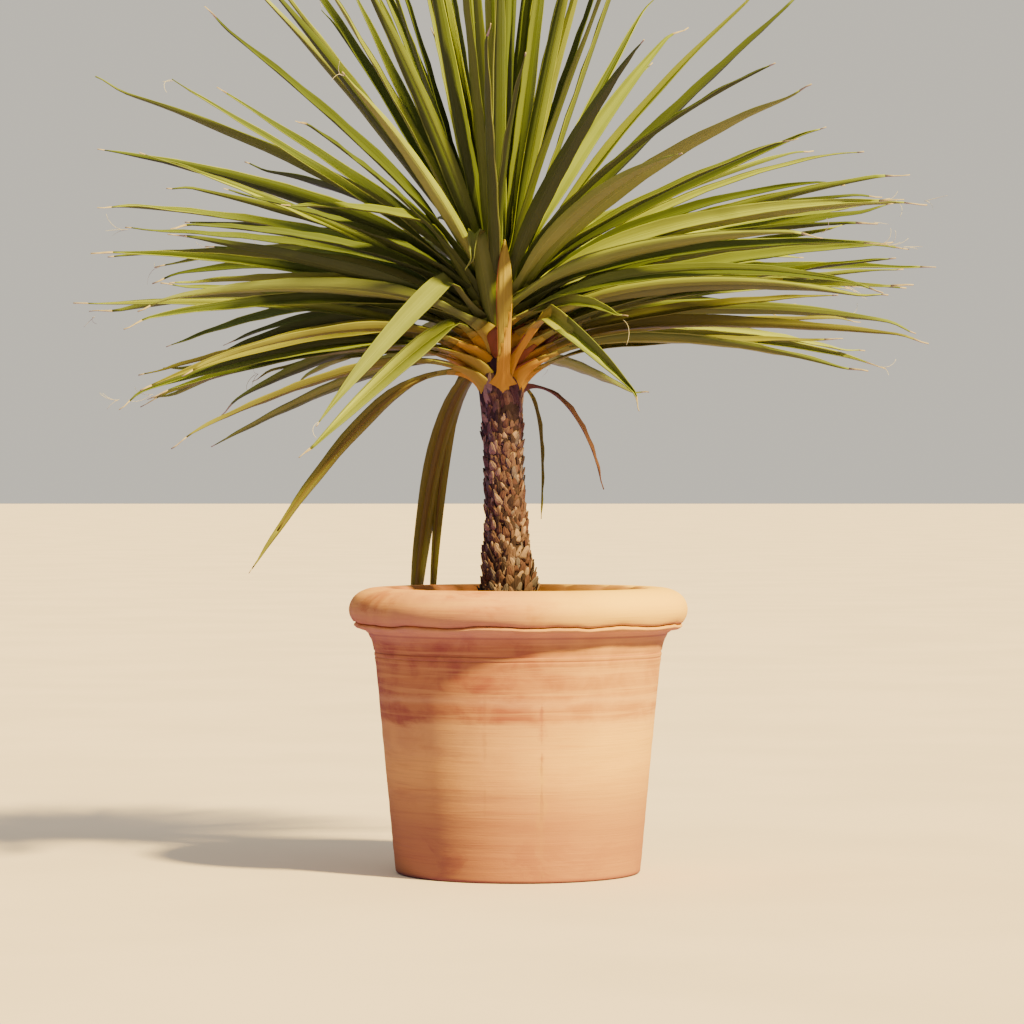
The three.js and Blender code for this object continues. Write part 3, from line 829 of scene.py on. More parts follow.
def axis_x(height):
    return TRUNK_X + TRUNK_LEAN * (height - LEAN_FROM)


def root_height(age):
    return CROWN_FOOT[1] + (APEX[1] - CROWN_FOOT[1]) * age


def root_radius(age):
    return CROWN_FOOT[0] + (APEX[0] - CROWN_FOOT[0]) * max(age, 0) ** APEX_CURVE


def trunk_radius(height):
    """The trunk's radius in the source, up to the growing point."""
    knots = [*TRUNK_OUTLINE, *((root_height(age), root_radius(age)) for age in (*TIP_AGES, HEART_AGE))]
    return ruled(knots, height)


def leaf_scars(angle, height):
    """How deep the bark lies between the rows of leaf scars, from 0 on a scar to 1 in a crease."""
    rise = height / INTERNODE
    best = 9.0
    for index in range(int(rise) - 14, int(rise) + 16):
        turn = turn_between(math.degrees(angle), index * TURN) / SCAR_TURN
        climb = (rise - index) / SCAR_RISE + 0.4 * abs(turn)
        best = min(best, math.hypot(turn, climb))
    return smooth(best, 0.25, 0.75)


class CORDYLINE_OT_trunk(bpy.types.Operator):
    """Makes the trunk with the relief of its bark"""

    bl_idname = "cordyline.trunk"
    bl_label = "Trunk"

    def execute(self, context):
        settings = context.scene.cordyline_trunk
        top = root_height(HEART_AGE)
        rings = round((top - TRUNK_FOOT) / BARK_STEP)
        heights = [TRUNK_FOOT + (top - TRUNK_FOOT) * i / rings for i in range(rings + 1)]
        profile = [(0, TRUNK_FOOT)] + [(trunk_radius(height), height) for height in heights] + [(0, top)]
        bm = bmesh.new()
        lathe(bm, profile, BARK_SIDES)
        for vert in bm.verts:
            across = math.hypot(vert.co.x, vert.co.y)
            if across > MERGE and across > trunk_radius(vert.co.z) - MERGE * 10:
                out = Vector((vert.co.x / across, vert.co.y / across, 0))
                crease = leaf_scars(math.atan2(out.y, out.x), vert.co.z)
                ragged = noise.noise(vert.co * 55) + 0.6 * noise.noise(vert.co * 140)
                vert.co -= out * settings.relief * (0.4 + crease + 0.45 * ragged)
            vert.co.x += axis_x(vert.co.z)
        shade_smooth(bm)
        finished("bark", bm, bark(settings), ["trunk"])
        return {"FINISHED"}


SCALE_TONES = ("dark", "red", "brown", "buff", "grey")
# Each tone's share of the scales, added up. The buff ones, most at the foot, are dealt out before them.
SCALE_SHARES = (("brown", 0.45), ("red", 0.68), ("grey", 0.77), ("dark", 1.0))
BUFF_SHARE = 0.1
BUFF_SHARE_AT_FOOT = 0.13
SCALE_SHAKE = 20
SCALE_LEAN = 34
SCALE_TILT = 4
SCALE_CURL = 13
# Share of each scale's length, from its foot, that takes the dark tone as painted shade
SHADED_SCALE_FOOT = 0.22
SCALE_THICKNESS = 0.0015


def scale_tone(index, count):
    draw = chance(index, 29)
    if draw < BUFF_SHARE + BUFF_SHARE_AT_FOOT * (1 - index / count):
        return "buff"
    return next(tone for tone, limit in SCALE_SHARES if draw < limit)


def bark_scale(bm, index, settings):
    """One leaf base left on the trunk: a curled, blunt or torn plate that stands off the bark at its tip."""
    share_up = (index + 0.5) / settings.scales
    height = TRUNK_FOOT - 0.006 + (CROWN_FOOT[1] - TRUNK_FOOT + 0.004) * share_up
    low = 1 - smooth(height, TRUNK_FOOT, TRUNK_FOOT + 0.15)
    high = smooth(height, CROWN_FOOT[1] - 0.065, CROWN_FOOT[1] - 0.01)
    angle = math.radians(index * TURN + spread(index, 21, SCALE_SHAKE))
    size = (0.55 + 0.65 * chance(index, 22)) * (1 + 0.25 * low + 0.9 * high)
    reach = settings.scale_length * size
    width = settings.scale_width * size * (0.7 + 0.55 * chance(index, 23)) / 2
    tilt = SCALE_TILT + SCALE_CURL * chance(index, 24) ** 1.5 + SCALE_CURL * low * chance(index, 25) ** 1.5
    tilt = math.radians(tilt) * (1 - 0.7 * high)
    lean = math.radians(spread(index, 26, SCALE_LEAN) * (1 - 0.7 * high))
    torn = 0.45 * chance(index, 27) * (1 - high)
    blunt = 2.6 + 5 * chance(index, 30) * (1 - high)
    tone = scale_tone(index, settings.scales)
    scar = high > 0.3 and tone in ("dark", "red")
    out = Vector((math.cos(angle), math.sin(angle), 0))
    side = Vector((-math.sin(angle), math.cos(angle), 0))
    up = Vector((0, 0, 1)) * math.cos(lean) + side * math.sin(lean)
    side = side * math.cos(lean) - Vector((0, 0, 1)) * math.sin(lean)
    radius = trunk_radius(max(height, TRUNK_FOOT)) - settings.relief * 1.15 - 0.0012 * low

    def place(u, s):
        taper = s**0.7 if scar else (1 - s**blunt) * (1 - torn) + torn * (1 - s**6)
        across = u * width * max(taper, 0.06)
        bow = across**2 / (2 * radius) * 1.15 + 0.0016 * u**2 * s
        stand = math.sin(tilt) * reach * s**1.3 + 0.0018 * math.sin(math.pi * s)
        notch = torn * reach * 0.8 * (0.5 + u * (chance(index, 28) - 0.5)) * s * (1 - s)
        point = out * (radius + stand - bow) + side * across + up * (reach * s * math.cos(tilt) - notch)
        point.z += height
        return point + Vector((axis_x(height), 0, 0))

    # Painted shade: the foot of every scale takes the dark tone.
    def tone_with_shaded_foot(u, s):
        return "dark" if s < SHADED_SCALE_FOOT else tone

    ribbon(bm, 4, 4, place, SCALE_TONES, tone_with_shaded_foot, lambda s: width)


class CORDYLINE_OT_scales(bpy.types.Operator):
    """Makes the dry leaf bases that are left on the trunk"""

    bl_idname = "cordyline.scales"
    bl_label = "Bark scales"

    def execute(self, context):
        settings = context.scene.cordyline_trunk
        bm = bmesh.new()
        for index in range(settings.scales):
            bark_scale(bm, index, settings)
        shade_smooth(bm)
        for kind, name in enumerate(SCALE_TONES):
            surface = scale_material(f"scale_{name}", getattr(settings, f"{name}_scale"))
            thicken(finished(f"bark_scales_{name}", of_kind(bm, kind), surface), SCALE_THICKNESS)
        bm.free()
        return {"FINISHED"}


# Crown: the source's growth rule, in metres

ROOTS = 132
TURN = 137.508
CROWN_FOOT = (0.040, 0.838)
APEX = (0.011, 1.066)
APEX_CURVE = 2.2
ROOT_SINK = 0.003
STEPS = 20
LIFT = 70
SETTLE = 0.13
THICKNESS = 0.0102
CHANNEL = 0.3
CLEARANCE = 0.0008
CLEAR_FROM = 0.05
NUDGES = (3, 6)
HEART_FROM = 108
HEART_AGE = HEART_FROM / (ROOTS - 1)

SUNNY_LIFT = 4
YOUNG_SUNNY_LIFT = 18
SUNNY_GROWTH = 0.035
FRONT = 270
WINDOW = 54
WINDOW_EDGE = 80
WINDOW_AGE = 0.5
FRONT_LIFT = 26

RISE = ((0, -5), (0.12, 1), (0.35, 7), (0.58, 13), (0.66, 19), (0.7, 36), (0.74, 60), (0.82, 73), (1, 88))
DROOP = ((0, 12), (0.3, 17), (0.6, 14), (0.75, 8), (1, 3))
LENGTH = ((0, 0.676), (0.25, 0.720), (0.6, 0.755), (0.8, 0.795), (1, 0.720))
WIDTH = ((0, 0.038), (0.4, 0.045), (0.68, 0.039), (1, 0.030))

# Leaves that stand out: age, azimuth, reach, height of the tip, droop, roll, width, fold and where it folds
SEEN = (
    ("long, hanging left", 0.0, 188, 0.405, 0.525, 12, 62, 0.038, 0, 0),
    ("wide, hanging behind", 0.02, 118, 0.345, 0.300, 30, 8, 0.054, 0, 0),
    ("narrow, hanging behind", 0.05, 107, 0.340, 0.330, 30, 15, 0.026, 0, 0),
    ("short, hanging right", 0.03, 50, 0.075, 0.619, 20, 40, 0.018, 0, 0),
    ("dead, curled right", 0.01, 350, 0.142, 0.672, 36, 12, 0.026, 0, 0),
    ("folded, front right", 0.1, 302, 0.430, 0.813, 12, 55, 0.044, -52, 0.34),
    ("pale, front left", 0.35, 228, 0.422, 0.779, 8, -60, 0.044, -68, 0.26),
    ("pale, low front left", 0.3, 220, 0.400, 0.723, 5, -60, 0.042, -62, 0.18),
    ("wide, low left", 0.14, 196, 0.605, 0.841, 20, -55, 0.044, 0, 0),
    ("brown at the tip, left", 0.18, 188, 0.710, 0.992, 10, -55, 0.032, 0, 0),
    ("long, left", 0.34, 186, 0.680, 1.085, 14, -50, 0.038, 0, 0),
    ("thin, high left", 0.5, 190, 0.600, 1.255, 10, -60, 0.026, 0, 0),
    ("steep, left", 0.58, 205, 0.580, 1.365, 4, -60, 0.030, 0, 0),
    ("folded, left", 0.52, 222, 0.450, 1.146, 20, -40, 0.038, -38, 0.4),
    ("upright, front", 0.06, 272, 0.085, 1.104, 0, 0, 0.036, 28, 0.3),
    ("curled, front left", 0.38, 251, 0.114, 1.050, 0, 0, 0.058, -150, 0.77),
    ("steep, right", 0.6, 335, 0.585, 1.290, 4, 55, 0.040, 0, 0),
    ("thin, high right", 0.5, 352, 0.610, 1.262, 26, 60, 0.024, 0, 0),
    ("broad, high right", 0.42, 340, 0.675, 1.148, 16, 50, 0.048, 0, 0),
    ("broad, right", 0.34, 345, 0.660, 1.090, 18, 45, 0.048, 0, 0),
    ("broad, low right", 0.2, 350, 0.690, 1.018, 16, 45, 0.044, 0, 0),
    ("pointed, front right", 0.4, 312, 0.285, 0.960, 50, 50, 0.042, 0, 0),
)


@dataclass
class Leaf:
    """One leaf of the spiral: its place in it, and the shape that its age and chance give it."""

    k: float
    age: float
    azimuth: float
    rise: float
    droop: float
    sweep: float
    roll: float
    length: float
    width: float
    fold: float = 0
    fold_at: float = 0
    name: str = ""


@dataclass
class Station:
    """A point along a leaf, with its ahead, side and up vectors, its width and its solid's thickness."""

    s: float
    point: Vector
    ahead: Vector
    side: Vector
    up: Vector
    width: float
    thickness: float


def ruled(knots, age):
    """The value of a rule's knots at an age."""
    for (start, low), (end, high) in zip(knots, knots[1:]):
        if age <= end:
            return low + (high - low) * (age - start) / (end - start)
    return knots[-1][1]


def chance(leaf, trait):
    """A number from 0 to 1 that belongs to one trait of one leaf, and is the same each time."""
    wave = math.sin(leaf * 12.9898 + trait * 78.233) * 43758.5453
    return wave - math.floor(wave)


def spread(leaf, trait, most):
    return (2 * chance(leaf, trait) - 1) * most


def turn_between(start, end):
    return (end - start + 180) % 360 - 180


def leaf_of_rule(k):
    """Leaf k of the spiral. Leaves near the heart keep closer to the rule.

    At the front the old leaves lie to both sides of a window, and the young ones stand up over it.
    Leaves on the right, where the sun is, rise more and grow longer than those on the left.
    """
    age = k / (ROOTS - 1)
    freedom = 1 - 0.75 * smooth(age, 0.6, 1)
    azimuth = k * TURN + spread(k, 1, 6)
    rise = ruled(RISE, age) + spread(k, 2, 7) * freedom
    aside = turn_between(FRONT, azimuth)
    nearness = max(0.0, 1 - abs(aside) / WINDOW_EDGE)
    if age < WINDOW_AGE:
        azimuth += math.copysign(WINDOW * nearness, aside)
    sunny = math.cos(math.radians(azimuth))
    if age < WINDOW_AGE:
        rise += SUNNY_LIFT * sunny
    else:
        opening = smooth(age, 0.655, 0.68) * (1 - smooth(age, 0.76, 0.9))
        rise += YOUNG_SUNNY_LIFT * opening * (sunny + 0.15)
        rise += FRONT_LIFT * nearness * (1 - smooth(age, 0.6, 0.9))
    return Leaf(
        k=k,
        age=age,
        azimuth=azimuth,
        rise=rise,
        droop=ruled(DROOP, age) * (1 + spread(k, 3, 0.7)),
        sweep=spread(k, 4, 9) * freedom,
        roll=math.copysign(32 + 32 * chance(k, 5), chance(k, 8) - 0.5),
        length=ruled(LENGTH, age) * (1 + spread(k, 6, 0.07)) * (1 + SUNNY_GROWTH * sunny),
        width=ruled(WIDTH, age) * (1 + spread(k, 7, 0.1)),
    )


def width_at(leaf, s):
    return leaf.width * (1 - s**2.4) * (0.4 + 0.6 * smooth(s, 0.02, 0.42))


def thickness_at(leaf, s):
    return leaf.length * THICKNESS * (0.6 + 0.4 * smooth(s, 0.02, 0.15)) * (1 - s**6)


def heading(leaf, s):
    """The blade's direction at s: it leaves the trunk steeply, settles to its rise, droops and folds."""
    root = leaf.k * TURN
    lift = max(leaf.rise, LIFT)
    folded = leaf.fold * smooth(s, leaf.fold_at - 0.04, leaf.fold_at + 0.04)
    settled = leaf.rise + (lift - leaf.rise) * math.exp(-s / SETTLE)
    elevation = settled - leaf.droop * s**1.5 + folded
    azimuth = root + turn_between(root, leaf.azimuth) * smooth(s, 0, 0.12) + leaf.sweep * s
    return math.radians(elevation), math.radians(azimuth)


def direction(elevation, azimuth):
    level = math.cos(elevation)
    return Vector((level * math.cos(azimuth), level * math.sin(azimuth), math.sin(elevation)))


def spine(leaf):
    """The stations of a leaf from root to tip."""
    root = math.radians(leaf.k * TURN)
    height = root_height(leaf.age)
    radius = root_radius(leaf.age) - ROOT_SINK
    point = Vector((axis_x(height) + radius * math.cos(root), radius * math.sin(root), height))
    stations = []
    for j in range(STEPS + 1):
        s = j / STEPS
        elevation, azimuth = heading(leaf, s)
        ahead = direction(elevation, azimuth)
        side = Vector((-math.sin(azimuth), math.cos(azimuth), 0))
        side.rotate(Quaternion(ahead, math.radians(leaf.roll) * smooth(s, 0.04, 0.4)))
        up = ahead.cross(side)
        stations.append(Station(s, point.copy(), ahead, side, up, width_at(leaf, s), thickness_at(leaf, s)))
        point += direction(*heading(leaf, s + 0.5 / STEPS)) * (leaf.length / STEPS)
    return stations


def aimed(leaf, reach, tip):
    """Turns and stretches a leaf until its tip lies at the reach and height asked of it."""
    for _ in range(8):
        stations = spine(leaf)
        start, end = stations[0].point, stations[-1].point
        run = math.hypot(end.x - start.x, end.y - start.y)
        wanted = math.atan2(tip - start.z, reach)
        got = math.atan2(end.z - start.z, run)
        leaf.rise += math.degrees(wanted - got)
        leaf.length *= math.hypot(reach, tip - start.z) / math.hypot(run, end.z - start.z)
    return leaf


def seen_leaves(free):
    """The leaves that stand out. Each takes the free root that suits its age and azimuth best."""
    leaves = []
    for name, asked, azimuth, reach, tip, droop, roll, width, fold, fold_at in SEEN:
        k = min(
            free,
            key=lambda k: abs(turn_between(azimuth, k * TURN)) / 12 + abs(k / (ROOTS - 1) - asked) / 0.05,
        )
        free.remove(k)
        guess = math.hypot(reach, 0.2)
        leaf = Leaf(k, k / (ROOTS - 1), azimuth, 0, droop, 0, roll, guess, width, fold, fold_at, name)
        leaves.append(aimed(leaf, reach, tip))
    return leaves


class Crowd:
    """The boxes that placed leaves fill, kept by the cell they lie in."""

    CELL = 0.062

    def __init__(self):
        self.cells = {}

    def cell(self, point):
        return tuple(math.floor(c / self.CELL) for c in point)

    def add(self, boxes):
        for box in boxes:
            self.cells.setdefault(self.cell(box[0]), []).append(box)

    def near(self, point):
        x, y, z = self.cell(point)
        for i in (x - 1, x, x + 1):
            for j in (y - 1, y, y + 1):
                for k in (z - 1, z, z + 1):
                    yield from self.cells.get((i, j, k), ())

    def touches(self, boxes):
        return any(touching(box, other) for box in boxes for other in self.near(box[0]))


def boxes_of(leaf, thinner=1.0, clear_from=CLEAR_FROM):
    """The boxes (middle, axes, halves, radius) that a leaf fills outside the crowded roots."""
    stations = spine(leaf)
    boxes = []
    for a, b in list(zip(stations, stations[1:]))[round(clear_from * STEPS) :]:
        ahead = b.point - a.point
        half = ahead.length / 2
        ahead.normalize()
        side = a.side + b.side
        side = (side - ahead * side.dot(ahead)).normalized()
        up = ahead.cross(side)
        thickness = (a.thickness + b.thickness) / 2
        middle = (a.point + b.point) / 2 - up * CHANNEL * thickness
        halves = (half, (a.width + b.width + 2 * CLEARANCE) / 4, (thickness * thinner + CLEARANCE) / 2)
        boxes.append((middle, (ahead, side, up), halves, math.hypot(*halves)))
    return boxes


def touching(one, other):
    between = other[0] - one[0]
    if between.length >= one[3] + other[3]:
        return False
    for axis in (*one[1], *other[1]):
        reach = sum(abs(axis.dot(a)) * half for box in (one, other) for a, half in zip(box[1], box[2]))
        if abs(axis.dot(between)) > reach:
            return False
    return True


def nudged(leaf):
    turns = ((1, 0), (-1, 0), (0, 1), (0, -1), (1, 1), (-1, -1), (1, -1), (-1, 1))
    tries = [leaf]
    for step in NUDGES:
        for a, r in turns:
            tries.append(replace(leaf, azimuth=leaf.azimuth + a * step, rise=leaf.rise + r * step))
    return tries


def placed_leaf(crowd, leaf, **box_settings):
    """The leaf, moved a little where it has to be, or None where it touches others wherever it is tried."""
    for tried in nudged(leaf):
        boxes = boxes_of(tried, **box_settings)
        if not crowd.touches(boxes):
            crowd.add(boxes)
            return tried
    return None


def frame_leaves():
    """The leaves that the frame's solids hold. One that would touch another moves or is skipped."""
    free = list(range(ROOTS))
    leaves = seen_leaves(free)
    crowd = Crowd()
    for leaf in leaves:
        crowd.add(boxes_of(leaf))
    grown = [placed_leaf(crowd, leaf_of_rule(k)) for k in free]
    skipped = [k for k, leaf in zip(free, grown) if leaf is None]
    return leaves + [leaf for leaf in grown if leaf], skipped


FINER_BOXES = {"thinner": 0.45, "clear_from": 0.15}
FINER_WIDTH = 0.85
FINER_LENGTH = 0.84
BARE_AGE = 0.35
BARE_FRONT = 48


def finer_leaves(leaves, skipped, count):
    """Leaves between those of the frame, as the real crown has, within the same reach."""
    crowd = Crowd()
    for leaf in leaves:
        crowd.add(boxes_of(leaf, **FINER_BOXES))
    finer = []
    for k in [*skipped, *(i + 0.5 for i in range(count))]:
        leaf = leaf_of_rule(k)
        if leaf.age < BARE_AGE and abs(turn_between(FRONT, k * TURN)) < BARE_FRONT:
            continue
        length_share = FINER_LENGTH + 0.13 * chance(k, 31)
        narrow = replace(leaf, width=leaf.width * FINER_WIDTH, length=leaf.length * length_share)
        placed = placed_leaf(crowd, narrow, **FINER_BOXES)
        if placed:
            finer.append(placed)
    return finer


# Crown: blades

GREENS = ("deep", "olive", "bright", "pale")
KINDS = (*GREENS, "tired", "dead", "ochre", "gold", "amber", "rust", "lime", "straw", "thread")
# The draws below which a leaf has each of the greens, in their order
FINER_SHARES = (0.38, 0.8)
YOUNG_SHARES = (0.46, 0.82)
OLD_SHARES = (0.2, 0.52, 0.86)
# Paler margins: partly the leaf's own colour, partly a painted highlight on lit edges
MARGINS_AND_HIGHLIGHTS = {"deep": "bright", "olive": "bright", "bright": "pale"}
# Painted shade: the darker green that one half of a folded blade takes
SHADED_HALVES = {"olive": "deep", "bright": "olive", "pale": "bright"}
ALONG = 30
ACROSS = 6
TIP_WIDTH = 0.0012
THREAD_WIDTH = 0.0009
THREAD_THICKNESS = 0.0006
UPRIGHT = "upright, front"
CURLED = "curled, front left"
FOLDED = "folded, front right"
LEAF_KINDS = {
    "long, hanging left": "tired",
    "wide, hanging behind": "tired",
    "narrow, hanging behind": "tired",
    "short, hanging right": "tired",
    "dead, curled right": "dead",
    FOLDED: "pale",
    "pale, front left": "pale",
    "pale, low front left": "pale",
    UPRIGHT: "olive",
    CURLED: "pale",
}


def between(stations, s):
    """The station at s, on a smooth curve through a leaf's stations."""
    place = min(max(s, 0.0), 1.0) * STEPS
    j = min(int(place), STEPS - 1)
    t = place - j
    a, b = stations[j], stations[j + 1]
    step = (b.point - a.point).length
    point = (
        a.point * (2 * t**3 - 3 * t**2 + 1)
        + a.ahead * step * (t**3 - 2 * t**2 + t)
        + b.point * (3 * t**2 - 2 * t**3)
        + b.ahead * step * (t**3 - t**2)
    )
    ahead = a.ahead.lerp(b.ahead, t).normalized()
    side = a.side.lerp(b.side, t)
    side = (side - ahead * side.dot(ahead)).normalized()
    thickness = a.thickness + (b.thickness - a.thickness) * t
    return Station(s, point, ahead, side, ahead.cross(side), a.width + (b.width - a.width) * t, thickness)


def blade_place(leaf, settings):
    """Where a blade's points lie: a channel that clasps the trunk, opens, waves and closes at the tip."""
    stations = spine(leaf)
    cache = {}
    closing = 0.15 + 0.75 * chance(leaf.k, 41) ** 2
    waves = 4 + 5 * chance(leaf.k, 42)
    phase = math.tau * chance(leaf.k, 43)
    hook = spread(leaf.k, 44, 0.018)
    clasp = 1.45 if leaf.age < HEART_AGE else 0.6
    open_fold = 0.3 + 0.42 * chance(leaf.k, 45)
    if leaf.name == UPRIGHT:
        closing, hook, open_fold = 0.1, 0.0, 0.08

    def row(s):
        if s not in cache:
            here = between(stations, s)
            width = max(here.width, TIP_WIDTH)
            if leaf.name == UPRIGHT:
                width = leaf.width * (1 - s**7) * (0.62 + 0.2 * smooth(s, 0.3, 0.75)) + TIP_WIDTH
            width += leaf.width * (clasp - 0.4) * (1 - smooth(s, 0.0, 0.15))
            fold = 0.45 * (1 - smooth(s, 0.02, 0.2)) + open_fold
            fold += closing * smooth(s, 0.72, 0.97)
            cache[s] = here, width / 2, fold, here.thickness * 0.55
        return cache[s]

    def place(u, s):
        here, half, fold, sink = row(s)
        rise = half * fold * abs(u) ** 1.35 - sink
        ripple = math.sin(math.tau * s * waves + phase + (1.1 if u > 0 else 0)) * abs(u) ** 3
        rise += settings.wave * ripple * smooth(s, 0.12, 0.3)
        curl = hook * smooth(s, 0.9, 1.0) ** 2
        narrowed = half * u / math.sqrt(1 + fold**2 * 0.8)
        return here.point + here.side * (narrowed + curl) + here.up * rise

    return place


def blade_kind(leaf):
    """The kind that a blade's green is, from the plain colours dealt out among the leaves."""
    if leaf.name in LEAF_KINDS:
        return LEAF_KINDS[leaf.name]
    draw = chance(leaf.k, 51)
    if leaf.age < 0.2 and draw < 0.3:
        return "tired"
    shares = FINER_SHARES if leaf.k % 1 else YOUNG_SHARES if leaf.age > 0.6 else OLD_SHARES
    return GREENS[sum(draw > limit for limit in shares)]


def zones(leaf):
    """Deals a blade's faces: its yellow or reddish base, its green with painted shade on one half, margins
    partly painted as highlights, a streak and its dry tip.
    """
    kind = blade_kind(leaf)
    sunny = math.cos(math.radians(leaf.azimuth)) > 0.3
    draw = chance(leaf.k, 52)
    base = "amber" if sunny and draw > 0.55 else "gold" if draw > 0.7 else "ochre"
    yellow = (0.13 - 0.085 * smooth(leaf.age, 0.12, 0.45)) * (0.75 + 0.5 * chance(leaf.k, 53))
    dry = 1 - 0.05 * chance(leaf.k, 54) ** 1.5 - (0.012 if leaf.age < 0.6 else 0.0)
    if leaf.name == FOLDED:
        base, yellow = "ochre", 0.3
    streaked = leaf.name.endswith(("hanging left", "hanging behind"))
    # Some blades get paler margins, partly their own colour and partly a painted highlight.
    margin_and_highlight = MARGINS_AND_HIGHLIGHTS.get(kind, kind) if chance(leaf.k, 56) < 0.35 else kind
    # Painted shade: on some blades the half at negative u takes the darker green.
    shaded_half = SHADED_HALVES.get(kind, kind) if chance(leaf.k, 59) < 0.45 else kind

    def kind_of(u, s):
        if kind == "dead":
            return kind
        if leaf.name == UPRIGHT and u < -0.8 and s > 0.25:
            return "amber"
        if leaf.name == UPRIGHT:
            return "ochre" if s < 0.4 + 0.2 * u else "gold"
        # Painted light: the curled leaf's folded-over end, where its paler underside catches the light, is
        # pale, and the rest olive.
        if leaf.name == CURLED:
            return "pale" if s > 0.72 else "olive"
        ripe = s / yellow + 0.25 * abs(u)
        if ripe < 1:
            edge = abs(u) > 0.8 and chance(leaf.k, 55) < 0.7
            return "amber" if edge else base
        if ripe < 1.3:
            return "gold"
        if ripe < 1.75:
            return "lime"
        if s > dry:
            return "straw"
        if streaked and 0 < u < 0.3 and s < 0.85:
            return "rust"
        if leaf.name == "broad, low right" and u > 0 and 0.5 < s < 0.7:
            return "gold"
        if abs(u) > 0.86:
            return margin_and_highlight
        return shaded_half if u < 0 else kind

    return kind_of


def add_thread(bm, leaf, index):
    """Adds a dry thread that leaves a leaf's tip and curls."""
    tip = spine(leaf)[-1]
    trait = 60 + index * 7
    size = 0.016 + 0.034 * chance(leaf.k, trait)
    start = tip.point - tip.ahead * 0.012 * chance(leaf.k, trait + 1)
    bend = math.radians(spread(leaf.k, trait + 2, 150))
    lean = math.radians(spread(leaf.k, trait + 3, 35))
    plane = (tip.side * math.cos(trait) + Vector((0, 0, -1)) * abs(math.sin(trait))).normalized()

    def place(u, s):
        angle = lean + bend * s / 2
        point = start + (tip.ahead * math.cos(angle) + plane * math.sin(angle)) * size * s
        return point + tip.side.cross(tip.ahead) * u * THREAD_WIDTH / 2 * (1.2 - s)

    ribbon(bm, 1, 7, place, KINDS, lambda u, s: "thread", lambda s: THREAD_WIDTH)


THREADED_SHARE = 0.2


class CORDYLINE_OT_leaves(bpy.types.Operator):
    """Grows the crown's leaves by the source's rule, with finer leaves between them"""

    bl_idname = "cordyline.leaves"
    bl_label = "Leaves"

    def execute(self, context):
        settings = context.scene.cordyline_crown
        leaves, skipped = frame_leaves()
        leaves += finer_leaves(leaves, skipped, settings.finer)
        bm = bmesh.new()
        for leaf in leaves:
            place = blade_place(leaf, settings)
            ribbon(bm, ACROSS, ALONG, place, KINDS, zones(leaf), partial(width_at, leaf))
            if leaf.name != UPRIGHT and chance(leaf.k, 57) < THREADED_SHARE:
                for index in range(1 + int(2.4 * chance(leaf.k, 58))):
                    add_thread(bm, leaf, index)
        shade_smooth(bm)
        for kind, name in enumerate(KINDS):
            surface = leaf_material(f"leaf_{name}", getattr(settings, name))
            nodes = LEAF_NODES if name == "olive" else ()
            piece = finished(f"leaves_{name}", of_kind(bm, kind), surface, nodes)
            thicken(piece, THREAD_THICKNESS if name == "thread" else settings.blade)
        bm.free()
        return {"FINISHED"}


# Stage

FLOOR_DROP = 0.0005
CAMERA_X = -0.0106
CAMERA_TILT = 0.43
SENSOR_WIDTH = 36


def lay_floor(settings):
    """A plain floor of pale stone, which lights the plant from below with its bounce colour."""
    bm = bmesh.new()
    bmesh.ops.create_grid(bm, x_segments=1, y_segments=1, size=settings.floor_size / 2)
    shader = material("pale_stone", 0.8, 0.2)
    mottle = shader.spread(shader.noise(shader.place, 1.4, 5.0), 0.35, 0.65)
    stone = shader.mix(mottle, settings.floor, toned(settings.floor, 0.93))
    seen = shader.node("ShaderNodeLightPath").outputs["Is Camera Ray"]
    floor = surfaced("floor", bm, finish_surface(shader, shader.mix(seen, settings.bounce, stone)))
    floor.location.z = -FLOOR_DROP


def open_sky(settings):
    """Soft light, stronger from above, behind a plain backdrop."""
    world = bpy.data.worlds.new("studio")
    world.use_nodes = True
    sky = Shader(world.node_tree)
    way = sky.node("ShaderNodeTexCoord").outputs["Generated"]
    rise = sky.node("ShaderNodeSeparateXYZ", {"Vector": way}).outputs["Z"]
    glow = sky.spread(rise, 0.05, 1.0, settings.air_low, settings.air_high)
    air = sky.node("ShaderNodeBackground", {"Color": (*settings.air, 1), "Strength": glow})
    backdrop = world.node_tree.nodes["Background"]
    backdrop.inputs["Color"].default_value = (*settings.backdrop, 1)
    seen = sky.node("ShaderNodeLightPath").outputs["Is Camera Ray"]
    mixed = sky.node("ShaderNodeMixShader", {0: seen, 1: air.outputs[0], 2: backdrop.outputs[0]})
    output = world.node_tree.nodes["World Output"]
    world.node_tree.links.new(mixed.outputs[0], output.inputs["Surface"])
    bpy.context.scene.world = world


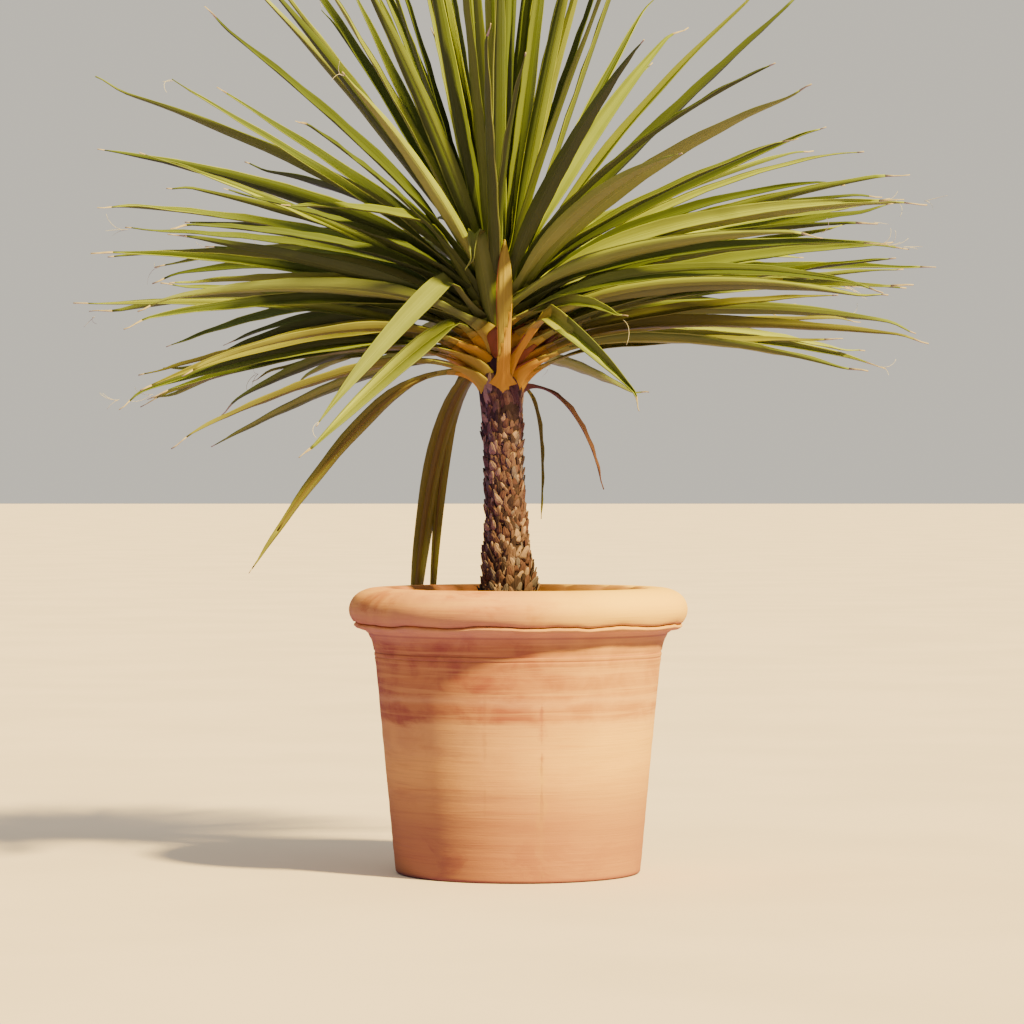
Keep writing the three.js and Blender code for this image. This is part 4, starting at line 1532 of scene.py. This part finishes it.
class CORDYLINE_OT_stage(bpy.types.Operator):
    """Sets the floor, the lights and the camera"""

    bl_idname = "cordyline.stage"
    bl_label = "Stage"

    def execute(self, context):
        settings = context.scene.cordyline_stage
        lay_floor(settings)
        open_sky(settings)
        sun = bpy.data.lights.new("key", "SUN")
        sun.energy = settings.key_strength
        sun.angle = settings.key_angle
        sun.color = settings.sun
        from_where = direction(settings.key_height, settings.key_azimuth)
        add_object("key", sun).rotation_euler = from_where.to_track_quat("Z", "Y").to_euler()
        camera = add_object("camera", bpy.data.cameras.new("camera"))
        camera.data.lens = settings.focal_length
        camera.data.sensor_width = SENSOR_WIDTH
        camera.location = (CAMERA_X, -settings.camera_distance, settings.camera_height)
        camera.rotation_euler = (math.radians(90 - CAMERA_TILT), 0, 0)
        context.scene.camera = camera
        return {"FINISHED"}


# Panel and registration

GROUPS = {
    "cordyline_pot": PotSettings,
    "cordyline_soil": SoilSettings,
    "cordyline_trunk": TrunkSettings,
    "cordyline_crown": CrownSettings,
    "cordyline_stage": StageSettings,
}
OPERATORS = (
    CORDYLINE_OT_stage,
    CORDYLINE_OT_pot,
    CORDYLINE_OT_compost,
    CORDYLINE_OT_trunk,
    CORDYLINE_OT_scales,
    CORDYLINE_OT_leaves,
)


class CORDYLINE_PT_panel(bpy.types.Panel):
    """Lists the pieces and their sizes and colours"""

    bl_idname = "CORDYLINE_PT_panel"
    bl_label = "Potted cordyline"
    bl_space_type = "VIEW_3D"
    bl_region_type = "UI"
    bl_category = "Cordyline"

    def draw(self, context):
        for operator in OPERATORS:
            self.layout.operator(operator.bl_idname)
        for name, settings in GROUPS.items():
            box = self.layout.box()
            box.label(text=name.removeprefix("cordyline_").capitalize())
            for setting in settings.__annotations__:
                box.prop(getattr(context.scene, name), setting)


def register():
    for cls in (*GROUPS.values(), *OPERATORS, CORDYLINE_PT_panel):
        bpy.utils.register_class(cls)
    for name, settings in GROUPS.items():
        setattr(bpy.types.Scene, name, PointerProperty(type=settings))


def unregister():
    for name in GROUPS:
        delattr(bpy.types.Scene, name)
    for cls in reversed((*GROUPS.values(), *OPERATORS, CORDYLINE_PT_panel)):
        bpy.utils.unregister_class(cls)


def main():
    register()
    grain_group()
    vein_group()
    for operator in OPERATORS:
        getattr(bpy.ops.cordyline, operator.bl_idname.split(".")[1])()


if __name__ == "__main__":
    main()
